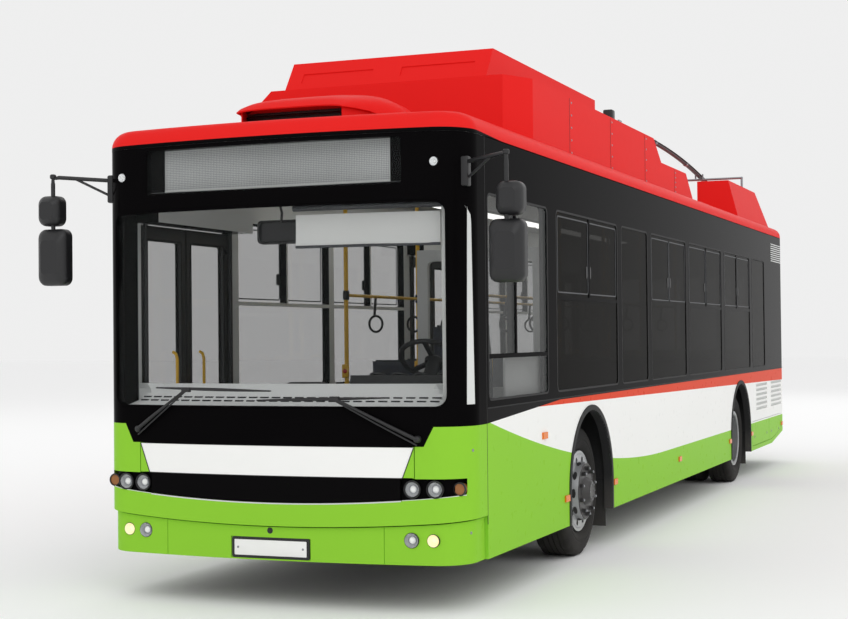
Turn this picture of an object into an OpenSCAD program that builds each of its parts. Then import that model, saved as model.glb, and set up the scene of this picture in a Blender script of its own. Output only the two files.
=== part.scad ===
/* [Body] */
// Width over the side walls
body_w = 2500; // [2440:5:2550]
// Flat top of the roof above the road
roof_z = 2980; // [2940:5:3040]
// Lower edge of the skirt above the road
skirt_z = 290; // [270:5:310]
// Top of the painted lower wall, where the glass band starts
belt_z = 1200; // [1170:5:1230]
// Top of the glass band, where the roof edge starts
cant_z = 2850; // [2800:5:2865]
// Thickness of the side, front and rear walls
wall_t = 60; // [50:1:70]
// Radius of the front's bow in plan
bow_r = 7000; // [6000:100:9000]
// Radius of the front corners in plan
corner_r = 250; // [200:5:300]
// Radius of the rear corners in plan
tail_r = 120; // [118:1:150]
// Radius of the roof's long edges
edge_r = 110; // [90:1:114]
// Distance from the front to the seam between front and side walls
front_cap = 460; // [430:5:480]
// Thickness of the floor
floor_t = 70; // [60:1:80]

/* [Running gear] */
// Distance from the front to the front axle
front_overhang = 2800; // [2750:5:2850]
// Distance between the axles
wheelbase = 6150; // [6050:5:6250]
// Distance from the rear axle to the rear panel
rear_overhang = 3050; // [2950:5:3150]
// Outer diameter of a tyre
tyre_d = 957; // [930:1:980]
// Width of a tyre
tyre_w = 275; // [255:1:295]
// Diameter of the rim's bead seat
rim_d = 571; // [560:1:585]
// Width of the rim between its flanges
rim_w = 210; // [195:1:220]
// Distance of a front wheel's middle from the centre line
front_wheel_x = 1030; // [1015:1:1045]
// Distance of a rear outer wheel's middle from the centre line
rear_wheel_x = 1050; // [1035:1:1065]
// Distance between the middles of twin tyres
twin_gap = 315; // [305:1:325]
// Distance from the steering pivot to the wheel's middle
pivot_offset = 120; // [110:1:130]
// Radius of the wheel arch's opening
arch_r = 560; // [550:1:575]
// Height of the wheel arch's centre above the road
arch_z = 520; // [505:1:535]

/* [Doors and flaps] */
// Clear width of a double door
door_w = 1200; // [1150:5:1230]
// Top of the door openings
door_top = 2410; // [2380:5:2440]
// Thickness of a door leaf
leaf_t = 40; // [34:1:44]
// Radius of a door's turning post
post_r = 17; // [14:1:20]
// Gap round door leaves and flaps
leaf_gap = 6; // [6:0.5:8]
// Gap between the two leaves of a door
leaf_mid_gap = 16; // [15:0.5:20]
// Thickness of the service flaps
flap_t = 22; // [18:1:26]
// Width of the ledge that a closed flap rests on
ledge_w = 15; // [12:1:20]

/* [Front] */
// Lower edge of the windscreen
screen_z0 = 1220; // [1200:5:1240]
// Upper edge of the windscreen
screen_z1 = 2440; // [2400:5:2480]
// Half the width of the windscreen
screen_half_w = 1130; // [1100:5:1150]
// Thickness of the window glass
glass_t = 8; // [6:0.5:12]
// Radius of a round headlamp
lamp_r = 46; // [40:1:50]

/* [Roof gear] */
// Height of the roof fairing's flat top
fairing_z = 3440; // [3400:5:3480]
// Height of the upper roof box
box_top_z = 3680; // [3640:5:3720]
// Distance the current collector poles reach past the rear
pole_reach = 460; // [400:5:520]
// Sideways place of each pole
pole_x = 400; // [380:1:420]
// Radius of a pole
pole_r = 25; // [22:1:28]

/* [Hidden] */
$fn = 64;

// Overrun of every cut
over = 20;
// Clearance where a piece is seated in another
seat_gap = 0.3;
// Clearance of a turning pin in its bore
pin_gap = 1;

// Colours
green = [0.56, 0.80, 0.25];
red = [0.90, 0.18, 0.16];
black = [0.06, 0.06, 0.07];
rubber = [0.10, 0.10, 0.10];
steel = [0.62, 0.63, 0.65];
grey = [0.75, 0.76, 0.77];
amber = [0.95, 0.45, 0.10];
yellow = [0.95, 0.75, 0.10];
dark_glass = [0.12, 0.13, 0.12, 0.6];
clear_glass = [0.75, 0.80, 0.80, 0.35];

// Length of the body, front panel to rear panel
body_l = front_overhang + wheelbase + rear_overhang;
// The front plane lies so that body and poles together are centred on the origin
y_front = -(body_l + pole_reach) / 2;
y_rear = y_front + body_l;
half_w = body_w / 2;
// Place of a point a given distance behind the front
function yd(d) = y_front + d;
y_axle_f = yd(front_overhang);
y_axle_r = yd(front_overhang + wheelbase);
wheel_z = tyre_d / 2;
// Centre of the front's bow and of the left front corner
bow_y = y_front + bow_r;
corner_x = half_w - corner_r;
corner_y = bow_y - sqrt(pow(bow_r - corner_r, 2) - pow(corner_x, 2));
bow_angle = asin(corner_x / (bow_r - corner_r));
wedge_share = 1.1;
bow_steps = 256;
// Inner face of the side walls and top of the floor
inner_x = half_w - wall_t;
floor_z = skirt_z + floor_t;

// Outline of the body in plan, drawn in from the outer face by an inset
module plan(inset) {
    intersection() {
        translate([0, bow_y]) circle(bow_r - inset, $fn = bow_steps);
        polygon([[0, bow_y],
            [corner_x * wedge_share, bow_y + (corner_y - bow_y) * wedge_share],
            [-corner_x * wedge_share, bow_y + (corner_y - bow_y) * wedge_share]]);
    }
    for (s = [-1, 1]) {
        translate([s * corner_x, corner_y]) circle(corner_r - inset);
        translate([s * (half_w - tail_r), y_rear - tail_r]) circle(tail_r - inset);
    }
    translate([-half_w + inset, corner_y])
        square([body_w - 2 * inset, y_rear - tail_r - corner_y]);
    translate([-half_w + tail_r, y_rear - tail_r - over])
        square([body_w - 2 * tail_r, tail_r + over - inset]);
}

// Wall of the body between two heights, ahead of a given distance from the front
module front_shell(inset, t, z0, z1) {
    translate([0, 0, z0]) linear_extrude(z1 - z0) intersection() {
        difference() {
            plan(inset);
            plan(inset + t);
        }
        translate([-half_w - over, y_front - over])
            square([body_w + 2 * over, front_cap + over]);
    }
}

// A drawing of distance along the body and height, made solid on the left side
module on_side(x0, t) {
    translate([x0, 0, 0]) rotate([90, 0, 90]) linear_extrude(t) children();
}

// A drawing of width and height, made solid from a plane towards the rear
module on_front(y0, t) {
    translate([0, y0 + t, 0]) rotate([90, 0, 0]) linear_extrude(t) children();
}

// Area above an edge that rises from the middle to both sides along a parabola of a given radius
edge_steps = 24;
module above_smile(z0, r, half, z1) {
    polygon(concat([for (i = [0 : edge_steps]) let (x = half * (2 * i / edge_steps - 1)) [x, z0 + x * x / (2 * r)]],
        [[half, z1], [-half, z1]]));
}

// Rectangle given by its corners
module rect(x0, z0, x1, z1) {
    translate([x0, z0]) square([x1 - x0, z1 - z0]);
}

// Rectangle with round corners, given by its corners
module round_rect(x0, z0, x1, z1, r) {
    translate([x0 + r, z0]) square([x1 - x0 - 2 * r, z1 - z0]);
    translate([x0, z0 + r]) square([x1 - x0, z1 - z0 - 2 * r]);
    for (x = [x0 + r, x1 - r], z = [z0 + r, z1 - r]) translate([x, z]) circle(r);
}

// Straight round bar between two points
module bar(a, b, r) {
    v = b - a;
    len = norm(v);
    translate(a) rotate([0, acos(v[2] / len), atan2(v[1], v[0])]) cylinder(len, r, r);
}

// Roof: flat slab whose outer edge is a quarter round that follows the plan
module edge_profile(r) {
    translate([r - edge_r - over / 4, cant_z])
        square([edge_r + over / 4, roof_z - edge_r - cant_z]);
    intersection() {
        translate([r - edge_r, roof_z - edge_r]) circle(edge_r);
        translate([r - edge_r, roof_z - edge_r]) square([edge_r, edge_r]);
    }
    translate([r - edge_r - over / 4, roof_z - edge_r]) square([over / 4, edge_r]);
}
module roof() {
    edge_l = y_rear - tail_r - corner_y;
    color(red) union() {
        translate([0, 0, cant_z]) linear_extrude(roof_z - cant_z) plan(edge_r);
        translate([0, bow_y, 0]) rotate([0, 0, -90 - bow_angle])
            rotate_extrude(angle = 2 * bow_angle) edge_profile(bow_r);
        translate([corner_x, corner_y, 0]) rotate([0, 0, -90 + bow_angle])
            rotate_extrude(angle = 90 - bow_angle) edge_profile(corner_r);
        translate([-corner_x, corner_y, 0]) rotate([0, 0, 180])
            rotate_extrude(angle = 90 - bow_angle) edge_profile(corner_r);
        translate([half_w - tail_r, y_rear - tail_r, 0])
            rotate_extrude(angle = 90) edge_profile(tail_r);
        translate([-half_w + tail_r, y_rear - tail_r, 0]) rotate([0, 0, 90])
            rotate_extrude(angle = 90) edge_profile(tail_r);
        for (s = [0, 1]) mirror([s, 0, 0])
            translate([0, corner_y + edge_l, 0]) rotate([90, 0, 0])
                linear_extrude(edge_l) edge_profile(half_w);
        translate([half_w - tail_r, y_rear, 0]) rotate([90, 0, -90])
            linear_extrude(body_w - 2 * tail_r) mirror([1, 0]) translate([-tail_r, 0])
                edge_profile(tail_r);
    }
}

// Wheel arches in the side drawing: distance of each axle from the front
axle_d = [front_overhang, front_overhang + wheelbase];
module arch_cut(r) {
    for (d = axle_d) {
        translate([yd(d), arch_z]) circle(r);
        rect(yd(d) - r, 0, yd(d) + r, arch_z);
    }
}

// Skirt line of the side walls, rising to the rear
rise_l = 960;
rise_d = body_l - rise_l;
rise_h = 118;
module skirt_cut() {
    polygon([[yd(rise_d), skirt_z], [y_rear + over, skirt_z + rise_h * (1 + over / (body_l - rise_d))],
        [y_rear + over, 0], [yd(rise_d), 0]]);
}

// Doors of the right side: distance of each opening's middle from the front
door_margin = 45;
door_2_share = 0.496;
door_3_gap = 200;
lip_w = 40;
lip_reach = arch_r + lip_w;
door_d = [front_cap + door_margin + door_w / 2, round(front_overhang + wheelbase * door_2_share),
    axle_d[1] + lip_reach + door_3_gap + door_w / 2];
sill_h = 3;
door_z0 = floor_z + sill_h;
module door_cut(grow) {
    for (d = door_d)
        rect(yd(d) - door_w / 2 - grow, door_z0, yd(d) + door_w / 2 + grow, door_top);
}

// Side windows: start, end and upright bar along a stretch of wall, bar across in the window's height,
// all as shares of that stretch and that height, with 0 for no bars
win_z0 = 1245;
win_z1 = 2510;
door_post = 150;
side_l = body_l - tail_r - front_cap;
left_window_shares = [[0.0035, 0.1121, 0.0517, 0.213], [0.1296, 0.2767, 0.2049, 0.518], [0.2872, 0.366, 0, 0],
    [0.3757, 0.5009, 0, 0], [0.5105, 0.6532, 0.5849, 0.518], [0.6655, 0.8012, 0.7303, 0.518],
    [0.8135, 0.8897, 0, 0]];
right_window_shares = [[0, 0.49, 0.25, 0.518], [0.52, 1, 0.76, 0.518]];
function window_at(d0, l, w) = [round(d0 + w[0] * l), round(d0 + w[1] * l), w[2] > 0 ? round(d0 + w[2] * l) : 0,
    round(win_z0 + w[3] * (win_z1 - win_z0))];
left_windows = [for (w = left_window_shares) window_at(front_cap, side_l, w)];
// Stretches of the right wall between two doors
door_bay_d = [for (i = [0, 1]) door_d[i] + door_w / 2 + door_post];
door_bay_l = [for (i = [0, 1]) door_d[i + 1] - door_w / 2 - door_post - door_bay_d[i]];
right_windows = [for (i = [0, 1], w = right_window_shares) window_at(door_bay_d[i], door_bay_l[i], w)];
vent_bar = 28;
win_r = 40;
// One window opening less its bars
module window_area(w, grow) {
    difference() {
        round_rect(yd(w[0]) - grow, win_z0 - grow, yd(w[1]) + grow, win_z1 + grow, win_r + grow);
        if (w[2] > 0) {
            rect(yd(w[0]) - over, w[3] - vent_bar / 2 + grow, yd(w[1]) + over, w[3] + vent_bar / 2 - grow);
            rect(yd(w[2]) - vent_bar / 2 + grow, w[3], yd(w[2]) + vent_bar / 2 - grow, win_z1 + over);
        }
    }
}

// Machine compartment at the left rear: start, and its stretch of side wall
bay_gap = 70;
bay_d0 = axle_d[1] + lip_reach + bay_gap;
bay_wall_l = body_l - tail_r - bay_d0;
// Louvres: start and end as shares of that stretch
louvre_shares = [[0.15, 0.4867], [0.615, 0.9646]];
louvre_z0 = 740;
louvre_z1 = 1070;
louvre_slats = 6;
louvre_depth = 24;
slat_share = 0.55;

// Service flaps of that compartment: start and end as shares of its stretch of wall
flap_z0 = 345;
flap_z1 = 618;
flap_rim = 55;
flap_shares = [[0.0265, 0.531], [0.5487, 0.929]];
module flap_area(f, grow) {
    difference() {
        rect(yd(bay_d0 + f[0] * bay_wall_l) - grow, flap_z0 - grow,
            yd(bay_d0 + f[1] * bay_wall_l) + grow, flap_z1 + grow);
        translate([0, flap_rim - grow]) skirt_cut();
    }
}

// Lower side wall in the side drawing
module side_area() {
    difference() {
        rect(yd(front_cap), skirt_z, y_rear - tail_r, belt_z);
        arch_cut(arch_r);
        skirt_cut();
    }
}
module side_left() {
    color("white") difference() {
        on_side(inner_x, wall_t) difference() {
            side_area();
            for (f = flap_shares) flap_area(f, -ledge_w);
        }
        on_side(half_w - flap_t - seat_gap, flap_t + seat_gap + over)
            for (f = flap_shares) flap_area(f, leaf_gap);
        for (l = louvre_shares) {
            pitch = (louvre_z1 - louvre_z0) / louvre_slats;
            for (i = [0 : louvre_slats - 1])
                on_side(half_w - louvre_depth, louvre_depth + over)
                    rect(yd(bay_d0 + l[0] * bay_wall_l), louvre_z0 + i * pitch,
                        yd(bay_d0 + l[1] * bay_wall_l), louvre_z0 + (i + slat_share) * pitch);
        }
    }
}
module side_right() {
    color("white") mirror([1, 0, 0]) on_side(inner_x, wall_t) difference() {
        side_area();
        door_cut(leaf_gap);
    }
}

// Black upper walls with their window openings, and the door gear covers inside
gear_h = 180;
gear_depth = 170;
gear_margin = 60;
module window_frames() {
    color(black) {
        on_side(inner_x, wall_t) difference() {
            rect(yd(front_cap), belt_z, y_rear - tail_r, cant_z);
            for (w = left_windows) window_area(w, 0);
        }
        mirror([1, 0, 0]) {
            on_side(inner_x, wall_t) difference() {
                rect(yd(front_cap), belt_z, y_rear - tail_r, cant_z);
                for (w = right_windows) window_area(w, 0);
                door_cut(leaf_gap);
            }
            for (d = door_d)
                on_side(inner_x - seat_gap - gear_depth, gear_depth)
                    rect(yd(d) - door_w / 2 - gear_margin, door_top,
                        yd(d) + door_w / 2 + gear_margin, door_top + gear_h);
        }
    }
}

// Side and rear panes
pane_in = 6;
module windows() {
    color(dark_glass) {
        on_side(half_w - pane_in - glass_t, glass_t)
            for (w = left_windows) window_area(w, -seat_gap);
        mirror([1, 0, 0]) on_side(half_w - pane_in - glass_t, glass_t)
            for (w = right_windows) window_area(w, -seat_gap);
        on_front(y_rear - pane_in - glass_t, glass_t) rear_window_area(-seat_gap);
    }
}

// Front mask: lower edge with raised shoulders, windscreen and sign openings
mask_z = 990;
shoulder_z = 1107;
shoulder_x0 = 990;
shoulder_x1 = 1050;
screen_r = 70;
sign_half_w = 870;
sign_z0 = 2545;
sign_z1 = 2825;
sign_r = 20;
module mask_area(gap) {
    polygon([[-half_w - over, cant_z], [half_w + over, cant_z], [half_w + over, shoulder_z + gap],
        [shoulder_x1, shoulder_z + gap], [shoulder_x0, mask_z + gap], [-shoulder_x0, mask_z + gap],
        [-shoulder_x1, shoulder_z + gap], [-half_w - over, shoulder_z + gap]]);
}
module screen_area(grow) {
    round_rect(-screen_half_w - grow, screen_z0 - grow, screen_half_w + grow, screen_z1 + grow,
        screen_r + grow);
}
module sign_area(grow) {
    round_rect(-sign_half_w - grow, sign_z0 - grow, sign_half_w + grow, sign_z1 + grow, sign_r + grow);
}
// Depth of the cuts that go through the whole front wall
cap_depth = front_cap + over;
module front_mask() {
    color(black) {
        difference() {
            intersection() {
                front_shell(0, wall_t, mask_z, cant_z - seat_gap);
                on_front(y_front - over, cap_depth) mask_area(0);
            }
            on_front(y_front - over, front_cap) {
                screen_area(0);
                sign_area(0);
            }
            top_lamp_bodies(seat_gap);
        }
        // Black bezels round the lamp clusters
        intersection() {
            difference() {
                front_shell(bezel_in, bezel_t, band_z0, band_z1 - seat_gap);
                head_lamp_bodies(seat_gap);
            }
            on_front(y_front - over, cap_depth) difference() {
                band_area(band_half_w - seat_gap);
                rect(-grille_half_w - leaf_gap, 0, grille_half_w + leaf_gap, band_z1 + over);
            }
        }
    }
}
module windscreen() {
    color(clear_glass) intersection() {
        front_shell(pane_in, glass_t, screen_z0 - over, cant_z);
        on_front(y_front - over, front_cap) {
            screen_area(-seat_gap);
            sign_area(-seat_gap);
        }
    }
}
// Route sign behind the upper glass
sign_depth = 120;
sign_back = 62;
module display() {
    color(black) on_front(y_front + wall_t + sign_back, sign_depth)
        rect(-sign_half_w + sign_r, sign_z0 + sign_r, sign_half_w - sign_r, cant_z - seat_gap);
}

// Lamp and grille band: flat top, lower edge bowed downwards in the middle
band_z0 = 638;
band_z1 = 800;
band_r = 11600;
band_half_w = 1215;
band_corner_r = 60;
bezel_in = 24;
bezel_t = 30;
grille_half_w = 845;
module band_area(half) {
    intersection() {
        above_smile(band_z0, band_r, half_w + over, band_z1);
        union() {
            rect(-half, band_z0 + band_corner_r + band_corner_r / 2, half, band_z1);
            rect(-half + band_corner_r, band_z0 - over, half - band_corner_r, band_z1);
            for (s = [-1, 1]) translate([s * (half - band_corner_r), band_z0 + 3 * band_corner_r / 2])
                circle(band_corner_r);
        }
    }
}
// Round lamps: sideways place as a share of half the width, and share of the headlamp radius
head_lamp_z = 738;
head_lamp_shares = [[0.7328, 1], [0.8416, 1]];
turn_lamp_share = [0.9448, 0.72];
lamp_depth = 70;
lamp_set_back = 6;
function lamp_y(x) = x < corner_x ? bow_y - sqrt(pow(bow_r, 2) - pow(x, 2))
    : corner_y - sqrt(pow(corner_r, 2) - pow(x - corner_x, 2));
module lamp(x, z, r, y_in) {
    for (s = [-1, 1]) translate([s * x, lamp_y(x) + y_in, z])
        rotate([-90, 0, 0]) cylinder(lamp_depth, r, r);
}
module head_lamp_bodies(grow) {
    for (l = concat(head_lamp_shares, [turn_lamp_share]))
        lamp(l[0] * half_w, head_lamp_z, lamp_r * l[1] + grow, lamp_set_back);
}
// Fog lamps in the bumper, in the same columns
fog_z = 436;
fog_lamp_shares = [[0.7232, 1], [0.828, 0.85]];
module fog_lamp_bodies(grow) {
    for (l = fog_lamp_shares)
        lamp(l[0] * half_w, fog_z, lamp_r * l[1] + grow, bumper_in - lamp_set_back);
}
// Marker lamps at the top corners of the mask
top_lamp_x = 1067;
top_lamp_z = 2670;
top_lamp_r = 28;
module top_lamp_bodies(grow) {
    lamp(top_lamp_x, top_lamp_z, top_lamp_r + grow, -lamp_set_back);
}
module head_lamps() {
    color(clear_glass) {
        for (l = head_lamp_shares) lamp(l[0] * half_w, head_lamp_z, lamp_r * l[1], lamp_set_back);
        fog_lamp_bodies(0);
        top_lamp_bodies(0);
    }
}

// Painted front panel between the mask and the bumper
seam_z = 500;
seam_r = 14400;
module front_panel() {
    color(green) difference() {
        intersection() {
            front_shell(0, wall_t, seam_z, shoulder_z);
            on_front(y_front - over, cap_depth) difference() {
                above_smile(seam_z, seam_r, half_w + over, shoulder_z + over);
                mask_area(-seat_gap);
                band_area(band_half_w);
                rect(-lid_half_w + ledge_w, band_z1 - over, lid_half_w - ledge_w, lid_z1 + over);
            }
        }
        // Recess that the closed lid lies in, with the ledge behind it
        intersection() {
            front_shell(-over, over + lid_t + seat_gap, band_z1 - over, lid_z1 + over);
            on_front(y_front - 2 * over, cap_depth)
                rect(-lid_half_w - leaf_gap, band_z1 - 2 * over, lid_half_w + leaf_gap, lid_z1 + 2 * over);
        }
    }
}
// Front service lid with the black grille band in its lower part
lid_half_w = 930;
lid_z1 = 984;
lid_t = 18;
lid_gap = 10;
// Upright ribs on the lid's back, at a share of its half width
lid_rib_share = 0.6;
lid_rib_w = 40;
lid_rib_d = 95;
module front_flap() {
    rib_y = lamp_y(lid_rib_share * lid_half_w) + lid_t / 2;
    color("white") union() {
        intersection() {
            front_shell(0, lid_t, band_z0, lid_z1);
            on_front(y_front - over, cap_depth) {
                rect(-lid_half_w, band_z1 + leaf_gap, lid_half_w, lid_z1);
                intersection() {
                    above_smile(band_z0 + lid_gap, band_r, half_w, lid_z1);
                    rect(-grille_half_w, band_z0, grille_half_w, lid_z1);
                }
            }
        }
        for (s = [-1, 1]) translate([s * lid_rib_share * lid_half_w - lid_rib_w / 2, rib_y, band_z1 + over])
            cube([lid_rib_w, y_front + lid_rib_d - rib_y, lid_z1 - band_z1 - 2 * over]);
    }
}

// Bumper, set back under the panel, with a plate recess in its middle flap
bumper_in = 22;
bumper_seam = 8;
plate_w = 540;
plate_h = 130;
plate_z = 363;
plate_depth = 14;
bumper_flap_x = 737;
groove = 5;
module front_bumper() {
    color(green) difference() {
        intersection() {
            front_shell(bumper_in, wall_t, skirt_z, seam_z + front_cap / 4);
            on_front(y_front - over, cap_depth) difference() {
                rect(-half_w - over, skirt_z - over, half_w + over, seam_z + front_cap / 4);
                above_smile(seam_z - bumper_seam, seam_r, half_w + 2 * over, shoulder_z);
            }
        }
        fog_lamp_bodies(seat_gap);
        on_front(y_front - over, over + bumper_in + plate_depth)
            rect(-plate_w / 2, plate_z - plate_h / 2, plate_w / 2, plate_z + plate_h / 2);
        for (s = [-1, 1])
            on_front(y_front - over, over + bumper_in + bumper_flap_x * bumper_flap_x / (2 * bow_r) + groove)
                rect(s * bumper_flap_x - groove / 2, skirt_z - over, s * bumper_flap_x + groove / 2, seam_z + over);
    }
}

// Rear wall: window, hatch and lamp openings
rear_win_half = 900;
rear_win_z0 = 1420;
rear_win_z1 = 2380;
rear_win_r = 80;
hatch_half_w = 830;
hatch_z0 = 640;
hatch_z1 = 1280;
tail_lamp_x = 1040;
tail_lamp_r = 62;
tail_lamp_z = 760;
tail_lamp_pitch = 160;
tail_lamps = 3;
rear_skirt_z = skirt_z + rise_h;
module rear_window_area(grow) {
    round_rect(-rear_win_half - grow, rear_win_z0 - grow, rear_win_half + grow, rear_win_z1 + grow,
        rear_win_r + grow);
}
module tail_lamp_bodies(grow) {
    for (s = [-1, 1], i = [0 : tail_lamps - 1])
        translate([s * tail_lamp_x, y_rear + lamp_set_back, tail_lamp_z + i * tail_lamp_pitch]) rotate([90, 0, 0])
            cylinder(wall_t / 2, tail_lamp_r + grow, tail_lamp_r + grow);
}
module rear_wall() {
    color("white") difference() {
        translate([0, 0, rear_skirt_z]) linear_extrude(cant_z - rear_skirt_z) difference() {
            intersection() {
                plan(0);
                translate([-half_w - over, y_rear - tail_r]) square([body_w + 2 * over, tail_r + over]);
            }
            translate([-inner_x, y_rear - tail_r - over]) square([2 * inner_x, tail_r + over - wall_t]);
        }
        on_front(y_rear - tail_r, tail_r + over) {
            rear_window_area(0);
            rect(-hatch_half_w + ledge_w, hatch_z0 + ledge_w, hatch_half_w - ledge_w, hatch_z1 - ledge_w);
        }
        on_front(y_rear - flap_t - seat_gap, flap_t + seat_gap + over)
            rect(-hatch_half_w - leaf_gap, hatch_z0 - leaf_gap, hatch_half_w + leaf_gap, hatch_z1 + leaf_gap);
        tail_lamp_bodies(seat_gap);
    }
}
module rear_hatch() {
    color("white") on_front(y_rear - flap_t, flap_t)
        rect(-hatch_half_w, hatch_z0, hatch_half_w, hatch_z1);
}
module service_flap(f) {
    color(green) on_side(half_w - flap_t, flap_t) flap_area(f, 0);
}
module service_flap_front() { service_flap(flap_shares[0]); }
module service_flap_rear() { service_flap(flap_shares[1]); }

// Side marker lamps beside the arches, near the rear and between the axles, and the left repeater
marker_z = 490;
marker_l = 100;
marker_h = 45;
marker_out = 12;
marker_gap = 65;
marker_end = 200;
marker_share = 0.488;
marker_door_gap = 250;
repeater_d = 1620;
repeater_z = 964;
markers_d = concat([for (d = axle_d, s = [-1, 1]) d + s * (lip_reach + marker_gap)], [body_l - marker_end]);
module marker(d, z) {
    on_side(half_w, marker_out)
        rect(yd(d) - marker_l / 2, z - marker_h / 2, yd(d) + marker_l / 2, z + marker_h / 2);
}
module signal_lamps() {
    color(amber) {
        for (d = concat(markers_d, [front_overhang + wheelbase * marker_share])) marker(d, marker_z);
        marker(repeater_d, repeater_z);
        mirror([1, 0, 0])
            for (d = concat(markers_d, [door_d[1] - door_w / 2 - marker_door_gap])) marker(d, marker_z);
        lamp(turn_lamp_share[0] * half_w, head_lamp_z, lamp_r * turn_lamp_share[1], lamp_set_back);
        tail_lamp_bodies(0);
    }
}

// Floor: slab to the walls, open at the arches, with wheel boxes and rear platforms
box_t = 40;
box_half_l = 600;
box_top = 1110;
front_box_x = 535;
rear_box_x = 480;
bay_x = 380;
bay_top = 1120;
bench_gap = 100;
bench_d0 = door_d[2] + door_w / 2 + bench_gap;
bench_h = 300;
// Inner faces of each axle's wheel boxes
box_x = [front_box_x, rear_box_x];
floor_in = wall_t + bumper_in + seat_gap;
side_in = inner_x - seat_gap;
// Front and rear ends of each axle's wheel boxes
box_d0 = [for (d = axle_d) d - box_half_l - box_t];
box_d1 = [for (d = axle_d) d + box_half_l + box_t];
// Rear end of the floor and of the compartment, in front of the rear wall
rear_d = body_l - wall_t - tail_r;
// Flat plate between two sideways places, distances and heights, short of its neighbours
module plate(x0, x1, d0, d1, z0, z1) {
    translate([x0 + seat_gap / 2, yd(d0) + seat_gap / 2, z0 + seat_gap / 2])
        cube([x1 - x0 - seat_gap, d1 - d0 - seat_gap, z1 - z0 - seat_gap]);
}
// Floor panels round the wheel boxes, and the step for the rear bench
module floor() {
    color(grey) difference() {
        union() {
            translate([0, 0, skirt_z]) linear_extrude(floor_t) intersection() {
                plan(floor_in);
                translate([-side_in, y_front]) square([2 * side_in, box_d0[0] - seat_gap / 2]);
            }
            for (i = [0, 1])
                plate(box_t - box_x[i], box_x[i] - box_t, box_d0[i], box_d1[i], skirt_z, floor_z);
            plate(-side_in, side_in, box_d1[0], box_d0[1], skirt_z, floor_z);
            plate(-side_in, bay_x, box_d1[1], rear_d, skirt_z, floor_z);
            plate(bay_x, side_in, box_d1[1], bay_d0, skirt_z, floor_z);
            plate(-side_in, bay_x, bench_d0, rear_d, floor_z, floor_z + bench_h);
        }
        on_side(-half_w, body_w) skirt_cut();
    }
}
// Wheel boxes and the left rear machine compartment: inner wall, end walls and cover
module box_plates(x0, d0, d1, z1) {
    plate(x0 - box_t, x0, d0, d1, skirt_z, z1 - box_t);
    plate(x0, side_in, d0, d0 + box_t, skirt_z, z1 - box_t);
    plate(x0, side_in, d1 - box_t, d1, skirt_z, z1 - box_t);
    plate(x0 - box_t, side_in, d0, d1, z1 - box_t, z1);
}
module wheel_boxes() {
    color(grey) {
        for (i = [0, 1], s = [0, 1]) mirror([s, 0, 0])
            box_plates(box_x[i], box_d0[i], box_d1[i], box_top);
        difference() {
            box_plates(bay_x + box_t, bay_d0, rear_d, bay_top);
            on_side(-half_w, body_w) skirt_cut();
        }
    }
}

// Rubber lips round the arches and mud flaps behind the wheels
lip_out = 8;
flap_low = 150;
flap_thick = 8;
flap_width = 300;
module arch_trims() {
    color(rubber) for (s = [0, 1]) mirror([s, 0, 0]) {
        for (d = axle_d) {
            on_side(half_w + seat_gap, lip_out) difference() {
                intersection() {
                    union() {
                        translate([yd(d), arch_z]) circle(lip_reach);
                        rect(yd(d) - lip_reach, skirt_z, yd(d) + lip_reach, arch_z);
                    }
                    rect(yd(d) - lip_reach, skirt_z, yd(d) + lip_reach, belt_z);
                }
                translate([yd(d), arch_z]) circle(arch_r);
                rect(yd(d) - arch_r, 0, yd(d) + arch_r, arch_z);
            }
            translate([inner_x - flap_width, yd(d) + box_half_l - flap_thick - seat_gap, flap_low])
                cube([flap_width, flap_thick, arch_z - flap_low]);
        }
    }
}

// Roof fairing: side profile of distance and height, narrowed at the front by chamfers
fairing_x = 1080;
fairing_d0 = 1710;
fairing_chamfer_l = 275;
fairing_front_x = 950;
fairing_high_l = 3940;
fairing_step_l = 300;
fairing_low_l = 1080;
fairing_low_z = 3245;
fairing_tail_l = 360;
fairing_d1 = fairing_d0 + fairing_chamfer_l;
fairing_step_d = fairing_d0 + fairing_high_l;
fairing_low_d = fairing_step_d + fairing_step_l;
fairing_tail_d = fairing_low_d + fairing_low_l;
fairing_end_d = fairing_tail_d + fairing_tail_l;
well_x = 800;
lean_x = 250;
module roof_fairing() {
    color(red) difference() {
        intersection() {
            on_side(-fairing_x, 2 * fairing_x)
                polygon([[yd(fairing_d0), roof_z], [yd(fairing_d0), fairing_z], [yd(fairing_step_d), fairing_z],
                    [yd(fairing_low_d), fairing_low_z], [yd(fairing_tail_d), fairing_low_z],
                    [yd(fairing_end_d), roof_z]]);
            translate([0, 0, roof_z]) linear_extrude(fairing_z - roof_z)
                polygon([[-fairing_front_x, yd(fairing_d0)], [fairing_front_x, yd(fairing_d0)],
                    [fairing_x, yd(fairing_d1)], [fairing_x, yd(fairing_end_d)],
                    [-fairing_x, yd(fairing_end_d)], [-fairing_x, yd(fairing_d1)]]);
        }
        // Open well for the pole bases
        translate([-well_x, yd(fairing_step_d), roof_z - over])
            cube([2 * well_x, fairing_end_d, fairing_z]);
        // Sloped upper edge on the door side
        translate([-fairing_x, yd(fairing_d0) - over, 0]) rotate([90, 0, 180])
            linear_extrude(fairing_end_d) polygon([[over, fairing_z - lean_x], [over, fairing_z + over],
                [-lean_x - over, fairing_z + over], [-lean_x, fairing_z]]);
    }
}

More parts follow.
